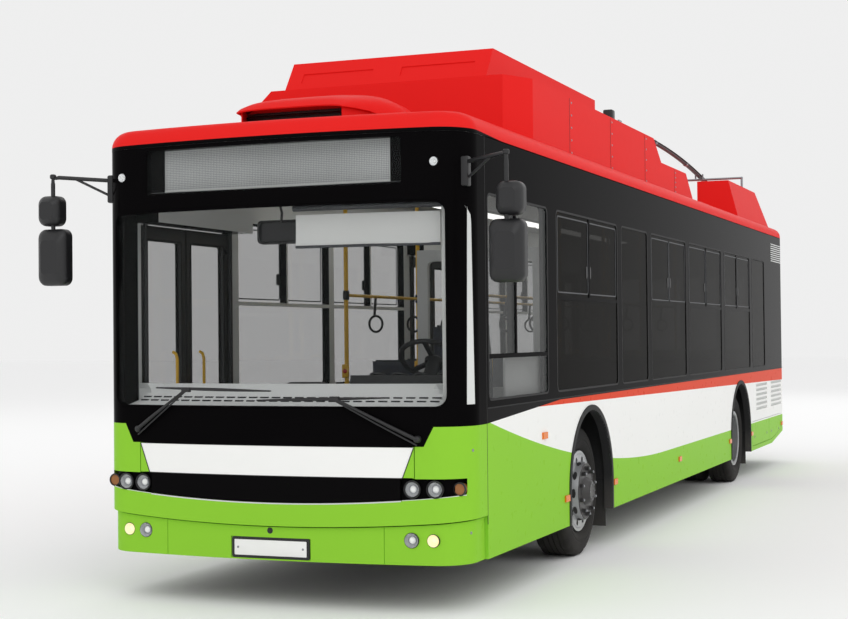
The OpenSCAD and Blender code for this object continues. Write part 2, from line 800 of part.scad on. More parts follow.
// Covers on the roof: upper box, air scoop and the two rear boxes
upper_half_w = 785;
upper_in = 120;
upper_lean = 170;
upper_l = 2880;
upper_d0 = fairing_d0 + upper_in;
upper_d1 = upper_d0 + upper_l;
upper_panel_w = 560;
upper_panel_h = 90;
upper_panel_depth = 8;
scoop_half_w = 600;
scoop_d0 = 520;
scoop_l = 800;
scoop_d1 = scoop_d0 + scoop_l;
scoop_h = 200;
scoop_r = 900;
scoop_mouth = 80;
scoop_wall = 26;
rear_box_in = 20;
rear_box_l = 2180;
rear_box_slope = 380;
rear_box_end_d = body_l - rear_box_in;
rear_box_top_d = rear_box_end_d - rear_box_slope;
rear_box_d0 = rear_box_end_d - rear_box_l;
rear_box_z = 3430;
rear_box_x0 = 620;
rear_box_x1 = 1100;
rear_box_top_x = 985;
module roof_covers() {
    color(red) {
        // Upper box with a leaning front
        difference() {
            on_side(-upper_half_w, 2 * upper_half_w)
                polygon([[yd(upper_d0), fairing_z], [yd(upper_d0 + upper_lean), box_top_z],
                    [yd(upper_d1), box_top_z], [yd(upper_d1), fairing_z]]);
            for (s = [-1, 1])
                translate([s * upper_half_w / 2, yd(upper_d0), fairing_z])
                    rotate([-atan2(upper_lean, box_top_z - fairing_z), 0, 0])
                        translate([-upper_panel_w / 2, -over, upper_panel_h])
                            cube([upper_panel_w, over + upper_panel_depth, upper_panel_h]);
        }
        // Air scoop, arched across and open to the front
        difference() {
            intersection() {
                on_side(-scoop_half_w, 2 * scoop_half_w)
                    polygon([[yd(scoop_d0), roof_z], [yd(scoop_d0), roof_z + scoop_h * 3 / 4],
                        [yd((scoop_d0 + scoop_d1) / 2), roof_z + scoop_h], [yd(scoop_d1), roof_z]]);
                on_front(yd(scoop_d0) - over, scoop_d1) intersection() {
                    translate([0, roof_z + scoop_h - scoop_r]) circle(scoop_r);
                    rect(-scoop_half_w, roof_z, scoop_half_w, roof_z + scoop_h);
                }
            }
            on_front(yd(scoop_d0) - over, over + scoop_d1 / 4)
                rect(-scoop_half_w + 2 * scoop_wall, roof_z + scoop_wall,
                    scoop_half_w - 2 * scoop_wall, roof_z + scoop_wall + scoop_mouth);
        }
        // Rear boxes with leaning sides and sloped tails
        for (s = [0, 1]) mirror([s, 0, 0]) intersection() {
            on_side(rear_box_x0, rear_box_x1 - rear_box_x0)
                polygon([[yd(rear_box_d0), roof_z], [yd(rear_box_d0), rear_box_z],
                    [yd(rear_box_top_d), rear_box_z], [yd(rear_box_end_d), roof_z]]);
            on_front(yd(rear_box_d0), rear_box_end_d - rear_box_d0)
                polygon([[rear_box_x0, roof_z], [rear_box_x0, rear_box_z], [rear_box_top_x, rear_box_z],
                    [rear_box_x1, roof_z]]);
        }
    }
}

// Pole bases, and the hoop that the lowered poles rest on
pivot_in = 950;
pivot_d = fairing_low_d + pivot_in;
pivot_z = 3745;
pivot_r = 15;
base_r = 130;
base_h = 420;
cheek_t = 16;
cheek_gap = 34;
cheek_w = 110;
hoop_in = 1200;
hoop_d = rear_box_d0 + hoop_in;
hoop_r = 14;
hoop_half_w = 930;
peg_gap = 20;
peg_h = 70;
pole_gap = 6;
hub_side_gap = 4;
peg_share = 0.7;
// The pole is an arc; its highest point along the body and its radius
pole_top_in = 1200;
pole_top_d = pivot_d + pole_top_in;
pole_arc_r = 26400;
function pole_z(d) = pivot_z - pole_arc_r + sqrt(pow(pole_arc_r, 2) - pow(d - pole_top_d, 2))
    + pole_arc_r - sqrt(pow(pole_arc_r, 2) - pow(pivot_d - pole_top_d, 2));
hoop_z = pole_z(hoop_d) - pole_r - pole_gap - hoop_r;
frame_tube = 60;
module pole_gear() {
    color(steel) {
        union() {
            for (s = [-1, 1]) translate([s * pole_x, yd(pivot_d), roof_z]) {
                cylinder(base_h, base_r, base_r * 2 / 3);
                for (c = [-1, 1]) translate([c * (cheek_gap + cheek_t / 2) - cheek_t / 2, -cheek_w / 2, base_h - over])
                    cube([cheek_t, cheek_w, pivot_z - roof_z - base_h + over + cheek_w / 2]);
                translate([-cheek_gap - cheek_t, 0, pivot_z - roof_z]) rotate([0, 90, 0])
                    cylinder(2 * (cheek_gap + cheek_t), pivot_r, pivot_r);
            }
            for (s = [-1, 1]) translate([-pole_x - base_r, yd(pivot_d) + s * base_r - frame_tube / 2, roof_z])
                cube([2 * (pole_x + base_r), frame_tube, frame_tube]);
        }
        union() {
            bar([-hoop_half_w, yd(hoop_d), hoop_z], [hoop_half_w, yd(hoop_d), hoop_z], hoop_r);
            for (s = [-1, 1]) {
                translate([s * hoop_half_w, yd(hoop_d), hoop_z]) sphere(hoop_r * joint_share);
                bar([s * hoop_half_w, yd(hoop_d), rear_box_z], [s * hoop_half_w, yd(hoop_d), hoop_z], hoop_r);
                for (e = [-1, 1]) translate([s * pole_x + e * (pole_r + peg_gap), yd(hoop_d), hoop_z])
                    cylinder(peg_h, hoop_r * peg_share, hoop_r * peg_share);
            }
        }
    }
}
head_l = 170;
head_w = 50;
head_h = 90;
module pole(s) {
    tip_d = body_l + pole_reach - head_l / 2;
    start_a = asin((pivot_d + cheek_w / 3 - pole_top_d) / pole_arc_r);
    end_a = asin((tip_d - pole_top_d) / pole_arc_r);
    arc_z = pole_z(pole_top_d) - pole_arc_r;
    color(black) translate([s * pole_x, 0, 0]) union() {
        translate([0, yd(pole_top_d), arc_z]) rotate([0, -90, 0]) rotate([0, 0, start_a])
            rotate_extrude(angle = end_a - start_a) translate([pole_arc_r, 0]) circle(pole_r);
        difference() {
            translate([-cheek_gap + hub_side_gap, yd(pivot_d), pivot_z]) rotate([0, 90, 0])
                cylinder(2 * (cheek_gap - hub_side_gap), cheek_w / 2, cheek_w / 2);
            translate([-cheek_gap - over, yd(pivot_d), pivot_z]) rotate([0, 90, 0])
                cylinder(2 * (cheek_gap + over), pivot_r + pin_gap, pivot_r + pin_gap);
        }
        translate([-head_w / 2, yd(tip_d) - head_l / 2, pole_z(tip_d) - head_h / 3])
            cube([head_w, head_l, head_h]);
    }
}
module pole_left() { pole(1); }
module pole_right() { pole(-1); }

// Mirrors on tube arms at both front corners, the left heads hung lower
mirror_x = 1540;
mirror_d = 10;
mirror_top_z = 2690;
mirror_arm_r = 13;
mirror_tube_r = 16;
mirror_root_d = 210;
mirror_root_x = 1215;
mirror_low_z = 2560;
mirror_high_z = 2670;
mirror_foot_w = 70;
mirror_foot_h = 190;
mirror_head_w = 215;
mirror_head_t = 110;
mirror_head_r = 50;
big_head_z = 1990;
big_head_h = 365;
small_head_z = 2375;
small_head_h = 195;
small_head_w = 165;
small_head_shift = 20;
left_drop = 45;
joint_share = 1.2;
brace_share = 0.65;
module mirror_head(x, z, w, h) {
    on_front(yd(mirror_d) - mirror_head_t / 2, mirror_head_t)
        round_rect(x - w / 2, z, x + w / 2, z + h, mirror_head_r);
}
module mirror_set(drop) {
    root = [mirror_root_x, yd(mirror_root_d), mirror_high_z];
    low_root = [mirror_root_x, yd(mirror_root_d), mirror_low_z];
    arm_end = [mirror_x, yd(mirror_d), mirror_top_z];
    difference() {
        union() {
            bar(root, arm_end, mirror_arm_r);
            bar(low_root, root + (arm_end - root) * brace_share, mirror_arm_r * brace_share);
            translate([mirror_root_x - mirror_foot_w / 2, yd(mirror_root_d) - mirror_foot_w / 2,
                (mirror_low_z + mirror_high_z - mirror_foot_h) / 2])
                cube([mirror_foot_w, mirror_foot_w, mirror_foot_h]);
        }
        translate([corner_x, corner_y, mirror_low_z - mirror_foot_h])
            cylinder(3 * mirror_foot_h, corner_r + seat_gap, corner_r + seat_gap);
    }
    translate([mirror_x, yd(mirror_d), big_head_z + big_head_h / 2 - drop])
        cylinder(mirror_top_z + mirror_arm_r * joint_share - big_head_z - big_head_h / 2 + drop,
            mirror_tube_r, mirror_tube_r);
    mirror_head(mirror_x, big_head_z - drop, mirror_head_w, big_head_h);
    mirror_head(mirror_x + small_head_shift, small_head_z - drop, small_head_w, small_head_h);
}
module mirrors() {
    color(black) {
        union() mirror_set(left_drop);
        mirror([1, 0, 0]) union() mirror_set(0);
    }
}

// Wipers: pivot, elbow and the two ends of the blade, each as shares of half the windscreen's width
// and of its height above its lower edge
wiper_r = 11;
wiper_out = 40;
left_wiper_shares = [[0.848, -0.1516], [0.4027, 0.0451], [0.6814, 0.0475], [-0.0531, 0.0344]];
right_wiper_shares = [[-0.8274, -0.1189], [-0.4956, 0.0861], [-0.6991, 0.0943], [0.0265, 0.0803]];
function wiper_at(p, out) = let (x = p[0] * screen_half_w)
    [x, lamp_y(abs(x)) - out, screen_z0 + p[1] * (screen_z1 - screen_z0)];
module wiper(w) {
    // The bow's slope at the pivot decides how far its cap stands off
    slope = abs(w[0][0]) * screen_half_w / bow_r;
    pivot = wiper_at(w[0], wiper_out / 2 + 2 * wiper_r * slope + 2 * seat_gap);
    elbow = wiper_at(w[1], wiper_out);
    translate(pivot) rotate([-90, 0, 0]) translate([0, 0, -wiper_out / 2])
        cylinder(wiper_out, 2 * wiper_r, 2 * wiper_r);
    bar(pivot, elbow, wiper_r);
    bar(wiper_at(w[2], wiper_out / 2), wiper_at(w[3], wiper_out / 2), wiper_r);
    translate(elbow) rotate([-90, 0, 0]) translate([0, 0, -wiper_out / 3])
        cylinder(wiper_out, 2 * wiper_r, 2 * wiper_r);
}
module wipers() {
    color(black) {
        wiper(left_wiper_shares);
        wiper(right_wiper_shares);
    }
}

// Driver's place: shelf along the windscreen, binnacle and steering wheel
shelf_z = 1215;
shelf_t = 40;
shelf_d = 480;
cab_x0 = 250;
podium_z = 640;
screen_clear = 280;
screen_t = 40;
podium_gap = 20;
driver_gap = 260;
// The screen behind the driver stands clear of the front wheel box; podium and driver's seat end before it
screen_d = box_d0[0] - screen_clear - screen_t;
podium_d1 = screen_d - podium_gap;
driver_d = podium_d1 - driver_gap;
binnacle_x0 = 330;
binnacle_x1 = 1080;
binnacle_d1 = 760;
binnacle_z0 = 900;
binnacle_z1 = 1400;
wheel_x = 700;
steer_d = 1010;
steer_z = 1480;
steer_r = 225;
steer_tube = 16;
steer_lean = 35;
column_r = 45;
module dashboard() {
    inner = wall_t + seat_gap;
    color(rubber) union() {
        translate([0, 0, shelf_z - shelf_t]) linear_extrude(shelf_t) intersection() {
            plan(inner);
            translate([-inner_x + 2 * seat_gap, y_front]) square([2 * inner_x - 4 * seat_gap, shelf_d]);
        }
        translate([-inner_x + 2 * seat_gap + wall_t, yd(front_cap / 2), floor_z])
            cube([2 * inner_x - 4 * seat_gap - 2 * wall_t, shelf_d - front_cap / 2, shelf_z - floor_z]);
        translate([binnacle_x0, 0, 0]) on_side(0, binnacle_x1 - binnacle_x0)
            polygon([[yd(shelf_d) - over, binnacle_z0], [yd(shelf_d) - over, shelf_z], [yd(shelf_d) + over, binnacle_z1],
                [yd(binnacle_d1), (binnacle_z1 + shelf_z) / 2], [yd(binnacle_d1), binnacle_z0 + wall_t]]);
        // Podium under the driver
        translate([cab_x0, yd(shelf_d) - over, floor_z])
            cube([inner_x - 2 * seat_gap - cab_x0, podium_d1 - shelf_d + over, podium_z - floor_z]);
        bar([wheel_x, yd(binnacle_d1) - wall_t, (binnacle_z0 + binnacle_z1) / 2], [wheel_x, yd(steer_d), steer_z], column_r);
        translate([wheel_x, yd(steer_d), steer_z]) rotate([-steer_lean, 0, 0]) {
            rotate_extrude() translate([steer_r, 0]) circle(steer_tube);
            for (a = [0, 120, 240]) rotate([0, 0, a + 30]) translate([0, -steer_tube, -steer_tube / 2])
                cube([steer_r, 2 * steer_tube, steer_tube]);
        }
    }
}
// Screen behind the driver
screen_top = 2250;
module cab_partition() {
    color(grey) difference() {
        translate([cab_x0, yd(screen_d), floor_z + seat_gap])
            cube([inner_x - seat_gap - cab_x0, screen_t, screen_top - floor_z]);
        on_front(yd(screen_d) - over, screen_t + 2 * over)
            round_rect(cab_x0 + 2 * screen_t, belt_z + 2 * screen_t, inner_x - 2 * screen_t, screen_top - 2 * screen_t, screen_t);
    }
}

// Seats in pairs: each row has the distance of its backs along the body and its side
seat_w = 430;
seat_l = 420;
seat_t = 70;
seat_z = 460;
back_h = 620;
back_t = 60;
leg_r = 35;
left_pair_x = 740;
row_pitch = 750;
row_start = 90;
row_end = 160;
// Rows that a stretch of floor takes
function rows_in(l) = floor((l - seat_l) / row_pitch) + 1;
left_rows = rows_in(box_d0[1] - box_d1[0] - row_start);
// Stretches of floor on the right, before and behind the middle door
right_stretches = [[box_d1[0], door_d[1] - door_w / 2], [door_d[1] + door_w / 2, box_d0[1]]];
seat_rows = concat([for (i = [0 : 1 : left_rows - 1]) [box_d1[0] + row_start + seat_l + i * row_pitch, 1]],
    [for (r = right_stretches, i = [0 : 1 : rows_in(r[1] - r[0] - row_end) - 1]) [r[1] - row_end - i * row_pitch, -1]]);
module seat_block() {
    translate([-seat_w / 2, -seat_l, seat_z - seat_t]) cube([seat_w, seat_l - back_t - seat_gap, seat_t]);
    translate([-seat_w / 2, -back_t, seat_z - seat_t]) cube([seat_w, back_t, back_h + seat_t]);
}
seat_between = 15;
seat_pitch = seat_w + seat_between;
seat_beam = 35;
module seat_pair() {
    beam_low = seat_z - seat_t - seat_gap - seat_beam;
    for (s = [-1, 1]) translate([s * seat_pitch / 2, 0, 0]) seat_block();
    translate([-seat_pitch / 2, -seat_l / 2 - leg_r, beam_low]) cube([seat_pitch, 2 * leg_r, seat_beam]);
    translate([0, -seat_l / 2, seat_gap]) cylinder(beam_low - 2 * seat_gap, leg_r, leg_r);
}
bench_seats = 3;
module seats() {
    color(rubber) {
        for (r = seat_rows) translate([r[1] * left_pair_x, yd(r[0]), floor_z]) seat_pair();
        translate([wheel_x, yd(driver_d), podium_z]) {
            seat_block();
            translate([0, -seat_l / 2, seat_gap]) cylinder(seat_z - seat_t - 2 * seat_gap, 2 * leg_r, 2 * leg_r);
        }
        for (i = [0 : bench_seats - 1])
            translate([-inner_x + 2 * leg_r + seat_w / 2 + i * seat_pitch, y_rear - tail_r - wall_t - over,
                floor_z + bench_h - seat_z + seat_t + seat_gap]) seat_block();
    }
}

// Grab rails: uprights by distance along the body and sideways place, and the long top rails
rail_r = 16;
rail_z = 1950;
rail_x = 400;
rail_gap = 170;
rail_after = 160;
rail_foot = 40;
rail_ends = [screen_d + screen_t + rail_gap, bay_d0 - bay_gap];
barrier_d = box_d1[0] + rail_foot;
rail_uprights = concat([for (d = concat(rail_ends, [barrier_d]), s = [-1, 1]) [d, s]],
    [for (i = [1 : 2 : len(seat_rows) - 1]) [seat_rows[i][0] + rail_after, seat_rows[i][1]]]);
barrier_z = 1150;
module grab_rails() {
    color(yellow) for (s = [-1, 1]) union() {
        for (u = rail_uprights) if (u[1] == s)
            translate([s * rail_x, yd(u[0]), floor_z + seat_gap])
                cylinder(cant_z - floor_z - 2 * seat_gap, rail_r, rail_r);
        bar([s * rail_x, yd(rail_ends[0]), rail_z], [s * rail_x, yd(rail_ends[1]), rail_z], rail_r * 3 / 4);
        bar([s * rail_x, yd(rail_ends[0]), barrier_z], [s * rail_x, yd(barrier_d), barrier_z], rail_r * 3 / 4);
    }
}

// Underframe: long rails, and cross members at shares of each stretch of them, below the floor
rail_h = 90;
rail_w = 70;
rail_place = 330;
cross_shares = [[0.166, 0.584], [0.134, 0.386, 0.639, 0.858], [0.474, 0.881]];
cross_w = 60;
cross_half = 1100;
frame_d0 = 900;
module underframe() {
    rail_in = rail_place - rail_w / 2;
    // Stretches of the long rails beside and between the axle beams
    rail_stretches = [[frame_d0, axle_d[0] - beam_w], [axle_d[0] + beam_w, axle_d[1] - beam_w],
        [axle_d[1] + beam_w, rise_d]];
    color(black) {
        for (s = [0, 1], r = rail_stretches) mirror([s, 0, 0])
            plate(rail_in, rail_in + rail_w, r[0], r[1], skirt_z - rail_h, skirt_z);
        for (i = [0 : len(rail_stretches) - 1], c = cross_shares[i]) {
            d = round(rail_stretches[i][0] + c * (rail_stretches[i][1] - rail_stretches[i][0]));
            plate(-rail_in, rail_in, d, d + cross_w, skirt_z - rail_h / 2, skirt_z);
            plate(-cross_half, -rail_in - rail_w, d, d + cross_w, skirt_z - rail_h / 2, skirt_z);
            if (d + cross_w < bay_d0)
                plate(rail_in + rail_w, cross_half, d, d + cross_w, skirt_z - rail_h / 2, skirt_z);
        }
    }
}

// Axles: dropped front beam with necks to the steering pivots, and the rear portal beam
beam_w = 110;
beam_h = 100;
beam_z = 210;
neck_x = 600;
pivot_x = front_wheel_x - pivot_offset;
king_r = 22;
boss_r = 50;
boss_h = 116;
module front_axle() {
    color(black) union() {
        translate([-neck_x - beam_w / 2, y_axle_f - beam_w / 2, beam_z - beam_h / 2])
            cube([2 * neck_x + beam_w, beam_w, beam_h]);
        spring_plates(y_axle_f);
        for (s = [-1, 1]) {
            translate([s * neck_x - beam_w / 2, y_axle_f - beam_w / 2, beam_z - beam_h / 2])
                cube([beam_w, beam_w, wheel_z + boss_h / 2 - beam_z + beam_h / 2]);
            translate([s * (neck_x + pivot_x) / 2 - (pivot_x - neck_x) / 2, y_axle_f - boss_r * 4 / 5, wheel_z - boss_h / 2])
                cube([pivot_x - neck_x, boss_r * 8 / 5, boss_h]);
            translate([s * pivot_x, y_axle_f, wheel_z - boss_h / 2]) cylinder(boss_h, boss_r, boss_r);
            translate([s * pivot_x, y_axle_f, wheel_z - yoke_h]) cylinder(2 * yoke_h, king_r, king_r);
        }
    }
}
// Steering knuckle: two eyes on the pivot, a bridge outside it, brake disc and stub axle
yoke_h = 130;
yoke_gap = 6;
bridge_x = 62;
bridge_t = 36;
bridge_w = 130;
stub_r = 40;
brake_r = 205;
brake_t = 40;
disc_a = 157;
module knuckle(s) {
    color(steel) translate([s * pivot_x, y_axle_f, wheel_z]) mirror([s < 0 ? 1 : 0, 0, 0]) difference() {
        union() {
            for (z = [-yoke_h, boss_h / 2 + yoke_gap]) {
                translate([0, 0, z]) cylinder(yoke_h - boss_h / 2 - yoke_gap, boss_r, boss_r);
                translate([0, -boss_r, z]) cube([bridge_x + bridge_t, 2 * boss_r, yoke_h - boss_h / 2 - yoke_gap]);
            }
            translate([bridge_x, -bridge_w / 2, -yoke_h]) cube([bridge_t, bridge_w, 2 * yoke_h]);
            translate([bridge_x, 0, 0]) rotate([0, 90, 0]) cylinder(brake_t + bridge_t, brake_r, brake_r);
            translate([bridge_x, 0, 0]) rotate([0, 90, 0])
                cylinder(pivot_offset + disc_a - bridge_x, stub_r, stub_r);
        }
        translate([0, 0, -yoke_h - over]) cylinder(2 * (yoke_h + over), king_r + pin_gap, king_r + pin_gap);
        // Room for the axle's end inside the yoke
        translate([-brake_r, -bridge_w, -boss_h / 2 - yoke_gap])
            cube([brake_r + bridge_x, 2 * bridge_w, boss_h + 2 * yoke_gap]);
    }
}
module knuckle_left() { knuckle(1); }
module knuckle_right() { knuckle(-1); }

portal_x = 495;
portal_t = 90;
portal_w = 260;
stub_in = rear_wheel_x - twin_gap;
module rear_axle() {
    color(black) union() {
        translate([-portal_x, y_axle_r - beam_w / 2, beam_z - beam_h / 2]) cube([2 * portal_x, beam_w, beam_h]);
        spring_plates(y_axle_r);
        translate([-beam_w, y_axle_r, beam_z]) rotate([0, 90, 0]) cylinder(2 * beam_w, beam_h * 4 / 5, beam_h * 4 / 5);
        for (s = [0, 1]) mirror([s, 0, 0]) {
            translate([portal_x, y_axle_r - portal_w / 2, beam_z - beam_h / 2])
                cube([portal_t, portal_w, wheel_z - beam_z + beam_h / 2]);
            translate([portal_x, y_axle_r, wheel_z]) rotate([0, 90, 0]) cylinder(portal_t, portal_w / 2, portal_w / 2);
            translate([portal_x, y_axle_r, wheel_z]) rotate([0, 90, 0])
                cylinder(rear_wheel_x - disc_a + hub_out / 2 - portal_x, stub_r, stub_r);
        }
    }
}

// Air springs between the axles' plates and the floor
spring_r = 58;
spring_x = 455;
spring_off = 220;
plate_t = 20;
plate_end = 70;
module spring_plates(y) {
    for (s = [-1, 1]) translate([s * spring_x - spring_r, y - spring_off - plate_end, beam_z - beam_h / 2])
        cube([2 * spring_r, 2 * (spring_off + plate_end), plate_t]);
}
module air_springs() {
    z0 = beam_z - beam_h / 2 + plate_t + seat_gap;
    color(rubber) for (y = [y_axle_f, y_axle_r], s = [-1, 1], e = [-1, 1])
        translate([s * spring_x, y + e * spring_off, z0]) cylinder(skirt_z - seat_gap - z0, spring_r, spring_r);
}

// Traction motor in the left rear compartment
motor_r = 240;
motor_l = 900;
motor_gap = 430;
motor_d = bay_d0 + motor_gap;
motor_x = 780;
motor_z = 620;
motor_bed = 120;
module traction_motor() {
    color(steel) union() {
        translate([motor_x, yd(motor_d), motor_z]) rotate([-90, 0, 0]) cylinder(motor_l, motor_r, motor_r);
        translate([bay_x + box_t + seat_gap, yd(motor_d) + motor_bed, motor_z - motor_r / 3])
            cube([motor_x - bay_x - box_t, motor_bed, motor_r / 2]);
        translate([bay_x + box_t + seat_gap, yd(motor_d) + motor_l - 2 * motor_bed, motor_z - motor_r / 3])
            cube([motor_x - bay_x - box_t, motor_bed, motor_r / 2]);
    }
}

// Tyre: half section from the bead to the tread as shares of height and half width
tyre_shares = [[0, 0.74], [0.1, 0.755], [0.16, 0.84], [0.3, 0.97], [0.5, 1], [0.72, 0.97], [0.9, 0.88], [0.97, 0.80], [1, 0.70]];
module tyre() {
    bead_r = rim_d / 2 + seat_gap;
    h = tyre_d / 2 - bead_r;
    n = len(tyre_shares);
    rotate([0, 90, 0]) rotate_extrude()
        polygon(concat([for (p = tyre_shares) [bead_r + p[0] * h, p[1] * tyre_w / 2]],
            [for (i = [n - 1 : -1 : 0]) [bead_r + tyre_shares[i][0] * h, -tyre_shares[i][1] * tyre_w / 2]]));
}
// Rim: barrel with flanges, stepped disc with round hand holes, and nuts on one side of the disc
flange_h = 13;
flange_t = 14;
barrel_t = 14;
disc_t = 14;
disc_r0 = 196;
disc_r1 = 206;
disc_step = 48;
hand_holes = 10;
hand_r = 24;
nut_count = 10;
nut_at_r = 167.5;
nut_r = 15;
nut_h = 26;
hub_out = 60;
hub_r = 110;
hub_cap_r = 78;
hub_cap_h = 46;
rear_cap_l = 190;
module rim(nut_side) {
    b = rim_d / 2 - seat_gap;
    in_r = b - barrel_t;
    low_a = disc_a - disc_step;
    rotate([0, 90, 0]) difference() {
        union() {
            rotate_extrude() {
                translate([in_r, -rim_w / 2]) square([barrel_t, rim_w]);
                for (a = [-rim_w / 2 - flange_t, rim_w / 2])
                    translate([in_r, a]) square([barrel_t + flange_h, flange_t]);
                polygon([[stub_r + pin_gap, disc_a], [disc_r0, disc_a], [disc_r1, low_a], [in_r - disc_t, low_a],
                    [in_r - disc_t, 0], [in_r, 0], [in_r, low_a + disc_t], [disc_r1 + disc_t, low_a + disc_t],
                    [disc_r0 + disc_t, disc_a + disc_t], [stub_r + pin_gap, disc_a + disc_t]]);
            }
            if (nut_side != 0) for (i = [0 : nut_count - 1]) rotate([0, 0, i * 360 / nut_count])
                translate([nut_at_r, 0, nut_side > 0 ? disc_a : disc_a - nut_h])
                    cylinder(nut_h + disc_t, nut_r, nut_r);
        }
        for (i = [0 : hand_holes - 1]) rotate([0, 0, (i + 1 / 2) * 360 / hand_holes])
            translate([(disc_r1 + disc_t + in_r - disc_t) / 2, 0, low_a - over])
                cylinder(disc_t + 2 * over, hand_r, hand_r);
    }
}
// Hub along the wheel's axis between two places, bored from its inner end
module hub(a0, a1, bore_a, r1) {
    translate([a0, 0, 0]) rotate([0, 90, 0]) difference() {
        cylinder(a1 - a0, hub_r, r1);
        translate([0, 0, -over]) cylinder(bore_a - a0 + over, stub_r + pin_gap, stub_r + pin_gap);
    }
}
module front_tyre(s) { color(rubber) translate([s * front_wheel_x, y_axle_f, wheel_z]) tyre(); }
module front_rim(s) {
    // The right wheel stands half a nut's pitch further round
    turned = s < 0 ? 180 / nut_count : 0;
    color(steel) translate([s * front_wheel_x, y_axle_f, wheel_z]) mirror([s < 0 ? 1 : 0, 0, 0]) union() {
        rotate([turned, 0, 0]) rim(1);
        hub(disc_a - hub_out, disc_a + disc_t / 2, disc_a + disc_t, hub_r);
        hub(disc_a + disc_t / 2, disc_a + disc_t + hub_cap_h, disc_a + disc_t, hub_cap_r);
    }
}
module rear_tyre(s) {
    color(rubber) for (x = [rear_wheel_x, stub_in]) translate([s * x, y_axle_r, wheel_z]) tyre();
}
module rear_rim(s) {
    color(steel) translate([s * rear_wheel_x, y_axle_r, wheel_z]) mirror([s < 0 ? 1 : 0, 0, 0]) union() {
        mirror([1, 0, 0]) rim(-1);
        translate([-twin_gap, 0, 0]) rim(0);
        hub(-disc_a - hub_out, rear_cap_l - disc_a, hub_out - disc_a, hub_cap_r);
    }
}
module tyre_front_left() { front_tyre(1); }
module tyre_front_right() { front_tyre(-1); }
module tyre_rear_left() { rear_tyre(1); }
module tyre_rear_right() { rear_tyre(-1); }
module rim_front_left() { front_rim(1); }
module rim_front_right() { front_rim(-1); }
module rim_rear_left() { rear_rim(1); }
module rim_rear_right() { rear_rim(-1); }

// Door leaf: frame with its pane, turning post inside and two arms
leaf_in = 8;
leaf_z0 = door_z0 + leaf_gap;
leaf_z1 = door_top - leaf_gap;
leaf_frame = 55;
leaf_rail = 90;
post_in = 32;
arm_h = 40;
arm_in = 110;
// Leaf of door i on the front (e = -1) or rear (e = 1) half, hinged at its outer end
module door_leaf(i, e) {
    w = door_w / 2 - leaf_mid_gap / 2;
    hinge_y = yd(door_d[i]) + e * door_w / 2;
    color(black) translate([-half_w, hinge_y, 0]) mirror([0, e > 0 ? 1 : 0, 0]) union() {
        difference() {
            translate([leaf_in, 0, leaf_z0]) cube([leaf_t, w, leaf_z1 - leaf_z0]);
            translate([leaf_in - over, leaf_frame, leaf_z0 + leaf_rail])
                cube([leaf_t + 2 * over, w - 2 * leaf_frame, leaf_z1 - leaf_z0 - 2 * leaf_rail]);
        }
        translate([leaf_in + glass_t, leaf_frame - seat_gap, leaf_z0 + leaf_rail - seat_gap])
            cube([glass_t, w - 2 * leaf_frame + 2 * seat_gap, leaf_z1 - leaf_z0 - 2 * leaf_rail + 2 * seat_gap]);
        translate([leaf_in + leaf_t + post_in, post_r, floor_z + seat_gap])
            cylinder(door_top - floor_z - 2 * seat_gap, post_r, post_r);
        for (z = [leaf_z0 + arm_in, leaf_z1 - arm_in - arm_h]) translate([leaf_in + leaf_t - seat_gap, 0, z]) cube([post_in, 2 * post_r, arm_h]);
    }
}
module door_1_front() { door_leaf(0, -1); }
module door_1_rear() { door_leaf(0, 1); }
module door_2_front() { door_leaf(1, -1); }
module door_2_rear() { door_leaf(1, 1); }
module door_3_front() { door_leaf(2, -1); }
module door_3_rear() { door_leaf(2, 1); }

roof();
floor();
wheel_boxes();
side_left();
side_right();
window_frames();
front_mask();
front_panel();
front_bumper();
rear_wall();
windscreen();
windows();
display();
head_lamps();
signal_lamps();
wipers();
mirrors();
arch_trims();
roof_fairing();
roof_covers();
pole_gear();
pole_left();
pole_right();
dashboard();
seats();
grab_rails();
cab_partition();
underframe();
front_axle();
rear_axle();
air_springs();
traction_motor();
knuckle_left();
knuckle_right();
tyre_front_left();
tyre_front_right();
tyre_rear_left();
tyre_rear_right();
rim_front_left();
rim_front_right();
rim_rear_left();
rim_rear_right();
door_1_front();
door_1_rear();
door_2_front();
door_2_rear();
door_3_front();
door_3_rear();
front_flap();
rear_hatch();
service_flap_front();
service_flap_rear();
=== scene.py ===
import math

import bmesh
import bpy
from mathutils import Matrix, Vector


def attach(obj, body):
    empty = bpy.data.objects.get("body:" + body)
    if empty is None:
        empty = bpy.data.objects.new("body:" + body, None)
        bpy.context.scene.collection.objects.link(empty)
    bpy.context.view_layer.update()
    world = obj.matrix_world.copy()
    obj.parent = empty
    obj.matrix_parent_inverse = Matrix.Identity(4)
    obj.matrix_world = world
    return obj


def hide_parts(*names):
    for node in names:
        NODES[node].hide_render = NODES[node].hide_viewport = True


bl_info = {
    "name": "Electric bus looks",
    "version": (1, 0, 0),
    "blender": (4, 5, 0),
    "location": "View3D > Sidebar > Bus",
    "description": "Finishes and fine pieces of a full-size electric bus with roof poles",
    "category": "Object",
}

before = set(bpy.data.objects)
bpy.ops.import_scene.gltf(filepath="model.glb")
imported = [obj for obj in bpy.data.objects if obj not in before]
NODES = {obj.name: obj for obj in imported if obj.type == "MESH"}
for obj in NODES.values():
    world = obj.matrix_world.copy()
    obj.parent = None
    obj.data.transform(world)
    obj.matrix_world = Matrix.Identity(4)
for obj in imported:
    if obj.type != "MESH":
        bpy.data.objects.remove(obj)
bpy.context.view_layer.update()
COACH = "coach"
